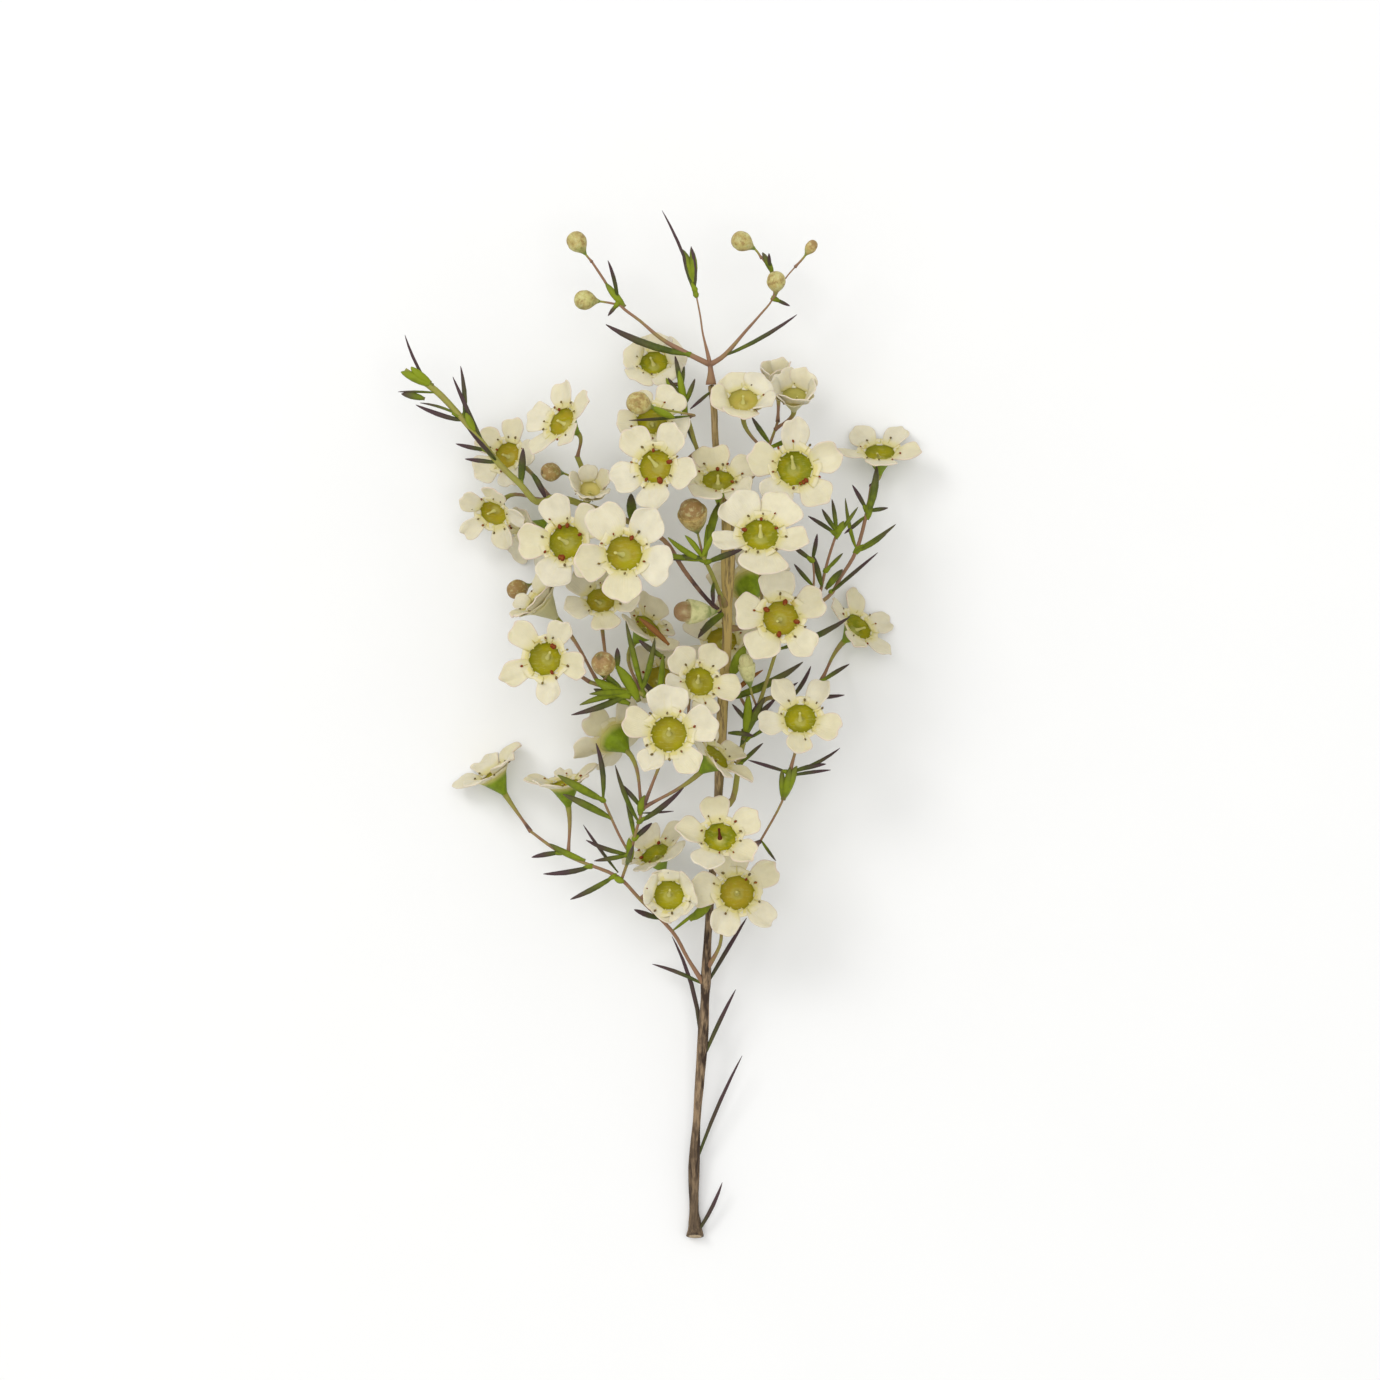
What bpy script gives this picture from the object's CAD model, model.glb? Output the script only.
"""A cut spray of waxflower lying on a pale floor.

Petals, cups, stamens, twigs, needle leaves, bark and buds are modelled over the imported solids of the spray.
The tables hold places and sizes in millimetres, and every finished mesh is in metres.
"""

import math
import random
from collections import namedtuple

import bmesh
import bpy
from bpy.props import FloatProperty, FloatVectorProperty, IntProperty, PointerProperty
from mathutils import Matrix, Vector


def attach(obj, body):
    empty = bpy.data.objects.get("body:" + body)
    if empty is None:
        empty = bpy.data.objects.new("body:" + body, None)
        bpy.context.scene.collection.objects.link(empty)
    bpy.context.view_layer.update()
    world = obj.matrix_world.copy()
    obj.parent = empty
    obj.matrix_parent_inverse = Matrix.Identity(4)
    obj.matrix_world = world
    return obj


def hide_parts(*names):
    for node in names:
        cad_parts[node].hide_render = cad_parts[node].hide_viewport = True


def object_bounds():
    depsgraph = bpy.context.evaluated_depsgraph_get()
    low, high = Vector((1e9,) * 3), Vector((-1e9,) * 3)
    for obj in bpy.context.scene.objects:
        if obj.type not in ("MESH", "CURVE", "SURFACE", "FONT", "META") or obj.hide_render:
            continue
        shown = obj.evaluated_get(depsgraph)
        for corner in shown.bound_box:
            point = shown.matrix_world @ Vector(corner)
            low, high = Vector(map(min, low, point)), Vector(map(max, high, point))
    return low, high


bl_info = {
    "name": "Waxflower Spray",
    "version": (1, 0, 0),
    "blender": (4, 5, 0),
    "location": "View3D > Sidebar > Waxflower",
    "description": "Makes a cut spray of waxflower: petals, cups, stamens, twigs, needles, bark and buds",
    "category": "Add Mesh",
}

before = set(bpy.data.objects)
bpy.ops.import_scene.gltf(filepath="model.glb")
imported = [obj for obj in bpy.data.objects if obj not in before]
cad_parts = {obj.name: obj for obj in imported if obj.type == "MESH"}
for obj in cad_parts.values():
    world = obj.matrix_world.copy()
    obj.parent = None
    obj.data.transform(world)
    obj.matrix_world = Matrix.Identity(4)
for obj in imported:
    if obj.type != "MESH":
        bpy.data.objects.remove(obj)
CAD_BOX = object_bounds()

MM = 0.001
BODY = "root"
SEED = 12

# Photograph
PHOTO_SIDE = 1380
PHOTO_PIXEL = 0.2  # mm
STEM_COLUMN = 663  # the pixel column of x = 0
STEM_ROW = 726  # the pixel row of y = 0
MIDDLE_HEIGHT = 20.0  # mm, where the camera's frame is measured
SENSOR_WIDTH = 36.0  # mm

# The forms that the solids have, in millimetres, degrees and shares
PETALS = 5
FIFTH = 72  # degrees from one petal to the next
PETAL_LENGTH = 6.2
PETAL_HALF_WIDTH = 3.9
PETAL_CURL = 0.4
RING_OUTER = 3.7
RING_HEIGHT = 0.6
CUP_LENGTH = 5.0
NEEDLE_BOW = 0.07
SEAT_GAP = 0.3
BUD_SEAT_GAP = 0.38
SHORT_NEEDLE = 8.0
NODE_SPACING = 10.5
PAIR_LENGTH = 12.0
BLOOM_ROOM = 10.8
ROOM_BEHIND = 6.5
ROOM_IN_FRONT = 4.5
BUD_ROOM = 1.5
STEM_ROOM = 1.6
FLOOR_ROOM = 0.8
STEM_SIDES = 6
SHORT_NEEDLE_BOW = 0.3
PAIR_LEANS = (32, 48)
PAIR_LENGTHS = (0.8, 1.15)
PAIR_PROBES = (0.3, 0.5, 0.75, 1.0)
STEM_PROBES = (0.0, 0.25, 0.5, 0.75)
SHOULDER_OUT = 0.9
SHOULDER_ON = 0.3
PEDICEL_LEAVES = 0.3  # share of its length over which a pedicel leaves its twig straight
PEDICEL_ARRIVES = 0.4

# A petal's outline, in shares of its length and half width, and how it is laid out
CLAW = 0.5
WIDEST = 0.62
TIP_NARROWS = 0.84
TIP_ROUND = 0.1
TIP_FULLNESS = 2.4
PETAL_ROOT = 0.3
PETAL_CELLS = 8
CURVE_STEPS = 6
SLENDER = 0.4  # share of its breadth that a petal with no length would keep
BLADE_OPENS = 0.35
BROAD = 1.15  # petals broader than this overlap
ROOM_APART = 0.97
ROOM_OVERLAPPED = 1.4
CUPPED = 24  # petals that rise by more degrees than this turn outward at their tips
OUTWARD = 0.28
EDGE_SWAY = 0.09
EDGE_RIPPLE = 0.05
TIP_WAVE = 0.055
TIP_NOTCH = 0.06
PETAL_TURN = 2.5  # degrees either way
OFF_FLOOR = 0.6  # share of its thickness that a petal's middle stays above the floor

# Waves of a petal's edges and face: radians over its length or half width, and what they make of its phase
TIP_TURNS = 3.4
TIP_PHASE = 3.1
SWAY_TURNS = 5.0
SWAY_PHASE = 1.9
SIDE_PHASE = 1.3
RIPPLE_TURNS = 11.0
RUFFLE_ACROSS = 4.2
RUFFLE_ALONG = 2.4
CRIMP_DEPTH = 0.6
CRIMP_PHASE = 2.7
CRIMP_ACROSS = 7.0

# What differs from petal to petal, drawn in this order between two shares of the usual
PETAL_VARIETY = {
    "stretch": (0.97, 1.02), "breadth": (0.96, 1.04), "cupping": (0.4, 1.5), "phase": (0, math.tau),
    "ruffle": (0.5, 1.4), "tip": (-0.06, 0.05), "notch": (-0.4, 1.0), "roll": (-0.24, 0.24),
    "fold": (-0.1, 0.12),
}
USUAL_PETAL = (92, 98)
HUNDRED = 100  # the forms of the petals are in hundredths of the usual

# Sepals between the petals, and their sizes for a full-grown bloom
SEPAL_CELLS = 3
SEPAL_ROOT = 0.5
SEPAL_WIDTHS = (0.55, 0.8)
SEPAL_REACHES = (0.9, 1.3)
SEPAL_FOOT = 0.1
SEPAL_RISE = 0.5
SEPAL_BOW = 0.2
SEPAL_NARROWS = 0.8
SEPAL_TINT = 0.3

# Cup, bowl and style: turned profiles, radius and height, for a full-grown bloom
CUP_OUTSIDE = ((0.0, -5.5), (0.52, -5.45), (0.76, -4.8), (1.12, -4.1), (1.62, -3.2), (2.24, -2.15),
               (2.9, -1.0), (3.66, 0.05))
CUP_BOWL = ((3.68, 0.34), (3.5, 0.02), (3.1, -0.62), (2.3, -1.15), (1.4, -1.3), (0.8, -1.15))
CUP_STYLE = ((0.5, -0.8), (0.3, -0.3), (0.22, 0.25), (0.3, 0.44), (0.24, 0.58), (0.0, 0.64))
STYLE_FOOT = -1.15
STYLE_LEAN = 0.85
STYLE_TILTS = (0.6, 1.15)
DRAWN_BOWLS = (0.0, 0.7)
CUP_SIDES = 20
CUP_RIBS = 10
RIB_DEPTH = 0.03

# Rim with its collar, teeth and stamens, for a full-grown bloom
RIM_LOOP = ((3.42, 0.1), (3.46, 0.4), (3.66, 0.56), (4.1, 0.6), (4.7, 0.68), (5.15, 0.74), (5.2, 0.62),
            (4.7, 0.48), (4.1, 0.3), (3.7, 0.02))
COLLAR_FROM = 3.9  # the rim is bowl-coloured inside this radius and petal-coloured outside it
COLLAR_TO = 5.2
RIM_SIDES = 40
RIM_RISE = 0.6  # share of the petals' rise that the collar has
RIM_STEEPEST = 50
RIM_SWELL = 0.02
RIM_SWELLS = 10  # to a turn, as are the next two
RIM_FRAYS = 13
RIM_WAVES = 7
RIM_FRAY = 0.02
RIM_WAVE = 0.06
COLLAR_DRAWN_IN = 0.01
COLLAR_LOBES = 0.05
TEETH_REACHES = (2.95, 3.3)
TEETH_HEIGHTS = (0.3, 0.6)
TEETH_WIDTHS = (0.35, 0.6)
TEETH_FOOT = 0.3
TEETH_TIP = 0.06
TEETH_FLATNESS = 0.45
TEETH_STRAY = 0.1  # radians either way, as are the next two
STAMENS_STRAY = 0.15
ANTHERS_TURN = 0.6
STAMEN_FOOT = 3.7
STAMEN_REACHES = (3.9, 5.3)
STAMEN_HEIGHTS = (1.0, 1.4)
STAMEN_START = 0.5
FILAMENT = (0.12, 0.07)
SPIKE_SIDES = 6
ANTHER_SIZES = (0.2, 0.34)
ANTHER_TONES = (0.3, 1.0)
ANTHER_FORM = (1.25, 0.9, 0.85, 1.0)
ANTHERS_KEPT = 0.75
RED_ANTHER_REACH = 3.15
RED_ANTHER_HEIGHT = 0.75
RED_STAMEN_START = 0.4
RED_STAMEN_END = 0.7
RED_FILAMENT = (0.16, 0.1)

# Buds: profiles in half widths and half lengths, and their folds
CLOSED_BUD = ((0.0, -1.45), (0.14, -1.42), (0.22, -1.15), (0.44, -0.9), (0.76, -0.6), (0.94, -0.25),
              (0.99, 0.0), (0.95, 0.12), (0.95, 0.34), (0.8, 0.68), (0.52, 0.9), (0.2, 0.99), (0.0, 1.0))
OPENING_BUD = ((0.0, -1.3), (0.14, -1.28), (0.22, -1.1), (0.5, -0.82), (0.78, -0.48), (0.94, -0.05),
               (1.02, 0.24), (0.95, 0.34), (0.8, 0.22), (0.84, 0.48), (0.74, 0.76), (0.44, 0.95), (0.0, 1.0))
CALYX_ROWS = 7  # rows of either profile that belong to the green cup
BUD_SIDES = 20
BUD_TWIST = 0.7
TWIST_SLOWS = 0.6
SEAM_DEPTH = 0.07
BUD_RIPPLE = 0.012
USUAL_BUD_TONE = 0.5

# Needle leaf, share of its length and share of its half width
NEEDLE_PROFILE = ((0.0, 0.5), (0.06, 0.5), (0.2, 0.82), (0.4, 1.0), (0.6, 1.0), (0.8, 0.74), (0.93, 0.42),
                  (1.0, 0.12))
NEEDLE_SIDES = 8
NEEDLE_FLATNESS = 0.8
SHEATH = ((-0.45, 0.34), (0.1, 0.62), (0.8, 0.5), (1.7, 0.22))  # millimetres along the needle, and radius
SHEATH_TONES = (0.7, 0.55)
SHEATH_ALONG = 0.25
TONES_STRAY = (-0.2, 0.25)
WIDTHS_STRAY = (0.9, 1.1)
LEAF_BOW = 0.05

# Pedicels, twigs and the woody stem
PEDICEL_STEPS = 9
PEDICEL_SIDES = 8
PEDICEL_FOOT = 1.5  # thickness of a pedicel at its foot, against the usual
PEDICEL_TAPER = 0.55  # what it has lost of that a third of the way up
PEDICEL_TONES = (1.35, 0.0)
CLIMB_BEND = 0.6  # share of the way to the point it climbs to where it bends
CLIMB_STEPS = 3
BLOOM_PEDICEL = 1.1
BUD_PEDICEL = 0.85
FLARE = 1.1  # widening of a pedicel where it runs into its cup
TWIG_SIDES = 10
TWIG_STEPS = 4
TWIG_FOOT = 1.6
BARK_SIDES = 14
BARK_STEPS = 5
CUT_BACK = 0.25
CUT_BEVEL = 0.18
LOWEST = 0.02

# Stage, in metres
FLOOR_HALF = 6.0
FLOOR_DROP = 0.0001
CLIPPING = (0.1, 50.0)
LAMPS = {"overhead": (2.4, (0.0, 0.3, 3.2)), "key": (0.9, (-1.3, 1.2, 2.0))}  # size and place

# Numbers of the colour sockets of a Mix node, whose names are not their own
MIX_FIRST = 6
MIX_SECOND = 7
MIX_COLOUR = 2

Path = namedtuple("Path", "points radii")
Bloom = namedtuple("Bloom", "name twig x y z tilt toward spin size reach rise joins")
Bud = namedtuple("Bud", "name twig x y z tilt toward width length joins")

# The woody stem: x, y, z of its centre and its radius, from the cut end up to the top fork
MAIN_STEM = (
    (6.4, -103.2, 0.0, 1.9),
    (6.4, -100.8, 0.0, 1.4),
    (6.2, -96.8, 1.6, 0.95),
    (6.2, -88.8, 2.8, 1.2),
    (6.8, -78.8, 4.2, 0.8),
    (7.4, -70.8, 5.6, 1.0),
    (8.0, -62.8, 7.0, 1.15),
    (8.4, -54.8, 8.6, 0.9),
    (8.6, -50.8, 9.4, 1.1),
    (9.0, -41.8, 11.4, 0.8),
    (9.8, -30.8, 13.6, 0.8),
    (10.8, -18.8, 15.6, 0.8),
    (11.6, -2.8, 18.0, 1.15),
    (12.0, 5.2, 19.0, 1.15),
    (12.8, 17.2, 20.0, 1.0),
    (12.8, 23.6, 20.4, 1.1),
    (13.0, 33.2, 21.0, 1.5),
    (12.7, 39.2, 21.3, 1.0),
    (12.2, 45.2, 21.6, 0.75),
    (10.6, 55.2, 22.0, 0.7),
    (10.2, 63.2, 22.2, 0.7),
    (9.6, 68.2, 22.4, 0.7),
)

# Each twig: its trunk first, rooted on the woody stem, then its side shoots
TWIGS = {
    "twig_top": (
        ((9.6, 68.8, 22.4, 0.7), (9.4, 72.2, 22.6, 0.7), (8.0, 78.2, 23.0, 0.55), (7.4, 82.2, 23.0, 0.5),
         (6.2, 88.2, 23.0, 0.4)),
        ((9.4, 72.2, 22.6, 0.6), (3.4, 75.2, 22.0, 0.6), (-0.6, 77.6, 21.5, 0.55), (-4.6, 81.0, 21.0, 0.5),
         (-8.6, 84.2, 20.5, 0.5), (-11.8, 89.2, 20.0, 0.45), (-14.2, 92.8, 20.0, 0.4)),
        ((9.4, 72.2, 22.6, 0.6), (12.4, 74.2, 22.0, 0.6), (16.4, 78.8, 21.0, 0.5), (19.4, 82.2, 20.5, 0.5),
         (21.8, 85.2, 20.0, 0.5), (22.2, 88.0, 17.6, 0.45), (21.4, 91.2, 17.0, 0.4),
         (19.8, 93.6, 17.5, 0.4)),
        ((21.8, 85.2, 20.0, 0.45), (24.4, 89.4, 19.6, 0.4), (26.4, 91.8, 19.2, 0.4)),
    ),
    "twig_left": (
        ((12.8, 21.6, 20.3, 0.65), (8.6, 25.6, 18.5, 0.6), (4.2, 31.2, 17.0, 0.6), (0.2, 37.2, 16.0, 0.6),
         (-6.0, 40.6, 15.4, 0.7), (-15.6, 44.2, 16.0, 0.75), (-21.4, 45.8, 18.5, 0.65),
         (-25.2, 44.8, 21.0, 0.65), (-28.6, 48.4, 22.0, 0.6), (-32.6, 52.2, 22.0, 0.6),
         (-36.6, 57.2, 21.5, 0.6), (-40.6, 62.0, 21.0, 0.6), (-45.6, 67.2, 20.0, 0.65),
         (-51.6, 71.2, 19.0, 0.45)),
        ((-15.6, 44.2, 16.0, 0.6), (-15.8, 50.0, 18.4, 0.5), (-17.2, 54.0, 20.5, 0.5)),
    ),
    "twig_centre": (
        ((12.8, 23.6, 20.4, 0.7), (11.0, 27.2, 24.0, 0.65), (9.8, 30.2, 26.5, 0.6), (8.0, 33.8, 29.0, 0.55)),
    ),
    "twig_upper_centre": (
        ((11.2, 51.4, 21.9, 0.6), (7.4, 54.2, 20.0, 0.6), (5.4, 60.2, 19.5, 0.55), (4.2, 64.2, 20.0, 0.5),
         (3.4, 68.2, 20.5, 0.4)),
    ),
    "twig_upper_right": (
        ((12.9, 37.2, 21.2, 0.7), (15.0, 43.4, 20.4, 0.65), (16.8, 48.4, 19.0, 0.6), (19.6, 52.0, 17.0, 0.6),
         (21.6, 57.0, 15.5, 0.5), (23.0, 61.0, 15.0, 0.45)),
    ),
    "twig_right": (
        ((12.8, 19.4, 20.1, 0.7), (18.0, 20.0, 18.6, 0.7), (26.4, 22.0, 17.0, 0.7), (33.0, 25.8, 15.0, 0.65),
         (35.6, 29.8, 14.0, 0.6), (38.8, 35.2, 12.0, 0.65), (41.0, 43.2, 9.0, 0.6), (41.8, 48.2, 7.0, 0.5)),
        ((31.0, 24.6, 15.6, 0.55), (33.0, 33.2, 18.0, 0.5), (35.0, 39.2, 19.0, 0.45)),
        ((29.6, 23.8, 16.0, 0.5), (30.2, 29.4, 21.0, 0.45), (29.8, 33.8, 22.5, 0.4)),
    ),
    "twig_side": (
        ((10.9, -16.6, 16.0, 0.65), (14.0, -14.6, 17.0, 0.65), (15.4, -6.0, 17.5, 0.65),
         (17.4, 0.2, 17.5, 0.6), (20.6, 5.4, 17.0, 0.6), (25.4, 5.2, 15.0, 0.55), (29.2, 5.6, 12.5, 0.5),
         (31.8, 9.2, 10.0, 0.5)),
        ((18.4, 1.8, 17.4, 0.55), (21.0, 9.8, 21.0, 0.5), (22.6, 15.0, 25.0, 0.5)),
    ),
    "twig_centre_left": (
        ((11.5, -4.6, 17.8, 0.65), (7.0, -1.0, 20.0, 0.65), (1.4, 3.2, 24.0, 0.65), (-4.6, 6.6, 26.5, 0.65),
         (-10.6, 7.6, 27.0, 0.6), (-14.6, 8.8, 26.0, 0.55)),
    ),
    "twig_lower_left": (
        ((8.5, -52.4, 9.0, 0.7), (5.0, -46.8, 11.0, 0.7), (1.8, -41.2, 12.0, 0.7), (-4.6, -34.8, 13.0, 0.65),
         (-9.2, -30.2, 13.5, 0.65), (-16.6, -27.2, 12.5, 0.6), (-21.6, -24.8, 11.0, 0.6),
         (-26.6, -21.2, 10.0, 0.5)),
        ((-8.4, -31.0, 13.4, 0.6), (-6.6, -25.8, 17.0, 0.6), (-5.6, -21.8, 19.5, 0.55),
         (-4.0, -16.4, 22.5, 0.5)),
        ((-6.6, -25.8, 17.0, 0.5), (-9.0, -21.4, 18.5, 0.5), (-12.2, -14.2, 20.0, 0.45)),
    ),
    "twig_lower_right": (
        ((8.7, -49.0, 9.9, 0.65), (11.4, -44.0, 13.0, 0.65), (12.2, -38.0, 15.5, 0.6),
         (16.2, -28.8, 17.0, 0.55), (19.4, -23.2, 17.5, 0.5), (23.8, -15.2, 18.0, 0.5),
         (25.4, -9.2, 18.5, 0.5)),
    ),
}

# Needle leaves that the spray's outline or its open places show: foot x, y, tip x, y, rise of the tip
NEEDLES = {
    "main_stem": (
        (6.4, -102.8, 11.9, -92.0, 2.0), (6.2, -89.4, 15.9, -66.4, 3.0), (7.8, -68.0, 14.6, -53.0, 2.0),
        (7.8, -67.2, 1.8, -42.4, 1.0), (8.6, -52.2, -2.2, -48.0, -5.0), (8.6, -52.4, 16.8, -38.6, -1.0),
        (9.8, 67.0, 5.4, 63.2, 3.0), (12.2, 5.2, 28.0, 12.8, -3.0), (12.6, 22.8, 7.0, 17.6, 4.0),
    ),
    "twig_centre": (
        (8.4, 33.0, -2.4, 34.6, 0.5), (8.5, 32.8, 1.0, 37.6, 2.0), (8.6, 32.6, 15.8, 35.2, 2.0),
        (8.4, 33.0, 8.8, 40.2, -1.0),
    ),
    "twig_top": (
        (5.4, 74.0, -11.4, 80.2, 1.0), (-9.0, 84.8, -11.0, 93.0, 3.0), (-9.0, 84.6, -11.0, 82.0, 0.0),
        (11.8, 73.6, 26.8, 82.2, 1.0), (22.0, 85.6, 25.4, 84.0, 0.0), (21.4, 91.2, 21.2, 94.6, 2.0),
        (6.4, 87.0, -0.2, 103.0, 0.0), (6.4, 87.4, 5.6, 95.8, 1.0), (6.6, 86.0, 3.8, 95.2, -2.0),
    ),
    "twig_left": (
        (-46.6, 68.0, -51.6, 78.2, 1.0), (-45.0, 66.6, -53.0, 66.8, 1.0), (-40.6, 62.0, -48.6, 64.6, 0.0),
        (-35.6, 56.0, -42.0, 69.8, 0.5), (-35.0, 55.0, -41.4, 56.4, 1.0), (-33.0, 52.6, -39.6, 53.4, -1.0),
        (-28.4, 48.2, -28.0, 55.6, -4.0), (-15.8, 44.2, -11.6, 50.4, 1.0),
    ),
    "twig_upper_centre": (
        (4.2, 64.2, 1.0, 69.6, 2.0), (3.6, 67.0, 4.2, 72.6, -3.0), (3.6, 67.2, 2.4, 74.0, 0.5),
        (4.2, 64.0, 6.4, 69.4, 2.0),
    ),
    "twig_upper_right": (
        (21.0, 55.6, 27.6, 58.0, 1.0), (21.4, 56.6, 17.8, 62.0, -4.0),
    ),
    "twig_right": (
        (38.6, 34.8, 45.6, 39.6, 1.0), (41.0, 43.2, 45.2, 43.8, 0.0), (40.9, 43.2, 38.0, 48.4, 1.0),
        (40.8, 42.2, 36.4, 38.6, 2.0), (34.6, 38.4, 29.0, 42.0, 1.0), (34.8, 38.8, 31.8, 43.4, 1.0),
        (34.8, 38.4, 33.8, 45.4, 0.0), (34.6, 37.6, 39.0, 43.8, 1.0), (32.6, 31.0, 36.0, 34.6, 1.0),
        (29.8, 33.2, 30.8, 38.4, 1.0), (29.8, 33.0, 25.4, 36.4, 0.0), (30.0, 28.0, 26.2, 32.4, 1.0),
    ),
    "twig_side": (
        (15.0, -8.0, 20.0, -3.4, 4.0), (17.4, 0.2, 13.8, 4.4, 5.0), (29.2, 5.6, 36.4, 6.2, 1.0),
        (25.4, 5.2, 29.6, 12.0, 3.0), (31.4, 8.6, 37.4, 12.4, 0.0),
    ),
    "twig_centre_left": (
        (-3.6, 6.4, -7.4, 21.0, 4.0), (-4.4, 6.6, -1.6, 17.6, 3.0), (-1.0, 5.0, 0.0, 14.4, 3.0),
        (-6.4, 7.0, -16.6, 4.2, 2.0), (-6.2, 7.0, -14.6, 6.4, 5.0), (-8.0, 7.4, -13.8, 11.6, 0.0),
    ),
    "twig_lower_left": (
        (-9.6, -30.0, -18.6, -34.8, 1.0), (-0.6, -38.6, -5.8, -36.8, 3.0),
        (-20.4, -25.4, -26.4, -26.4, 0.0),
        (-6.6, -25.8, -15.4, -22.8, 3.0), (-6.6, -25.8, -13.8, -27.0, 2.0), (-5.8, -22.4, -7.4, -15.0, 3.0),
        (-5.8, -22.6, -2.2, -19.4, 0.0), (-12.0, -14.6, -13.4, -3.4, 1.0), (-11.6, -14.8, -21.0, -9.8, 3.0),
        (-10.4, -18.6, -20.0, -13.6, 3.0), (-4.0, -16.6, -8.6, -11.4, 1.0), (1.8, -41.2, 8.2, -36.0, 5.0),
    ),
    "twig_lower_right": (
        (25.4, -9.4, 17.0, -6.8, 1.0), (25.4, -9.4, 35.4, -4.4, 1.0), (25.2, -10.0, 33.6, -8.8, 0.0),
        (19.6, -22.8, 22.6, -27.0, 2.0), (14.6, -32.4, 21.6, -31.4, 0.0),
    ),
}

# Leafy stretches that also carry crossed pairs of needles: twig, shoot, start and end along the shoot
LEAFY = (
    ("twig_left", 0, 60.0, 73.0), ("twig_upper_centre", 0, 5.0, 17.0), ("twig_upper_right", 0, 6.0, 16.0),
    ("twig_right", 0, 22.0, 34.0), ("twig_side", 0, 5.0, 30.0), ("twig_centre_left", 0, 12.0, 26.0),
    ("twig_lower_left", 0, 24.0, 44.0), ("twig_lower_left", 1, 4.0, 15.0),
)

# Width of each twig's needles against the usual, and their green: 0 is dark with a long purple tip, 1 is
# bright, and below 0 is dry and brown
NEEDLE_LOOKS = {
    "main_stem": (0.95, 0.0), "twig_centre": (1.3, 0.75), "twig_top": (0.9, 0.05), "twig_left": (1.05, 0.2),
    "twig_upper_centre": (1.1, 0.35), "twig_upper_right": (1.1, 0.4), "twig_right": (1.0, 0.35),
    "twig_side": (1.05, 0.3), "twig_centre_left": (1.45, 0.5), "twig_lower_left": (1.2, 0.2),
    "twig_lower_right": (0.8, 0.2),
}

# Single needles that differ from their twig's: twig and place in its list, width, green
NEEDLE_TWEAKS = {
    ("main_stem", 8): (1.7, 0.4), ("main_stem", 7): (1.8, 0.45), ("main_stem", 6): (0.8, 0.15),
    ("twig_top", 6): (0.7, 0.0), ("twig_top", 0): (1.7, 0.3), ("twig_centre", 2): (1.4, 0.3),
    ("twig_lower_left", 8): (1.9, 0.65),
    ("twig_lower_left", 9): (1.7, 0.5), ("twig_lower_left", 11): (0.8, 0.7), ("twig_left", 0): (0.7, 0.0),
    ("twig_left", 1): (0.6, 0.35), ("twig_left", 2): (0.65, 0.35), ("twig_left", 6): (1.7, 0.3),
}

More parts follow.
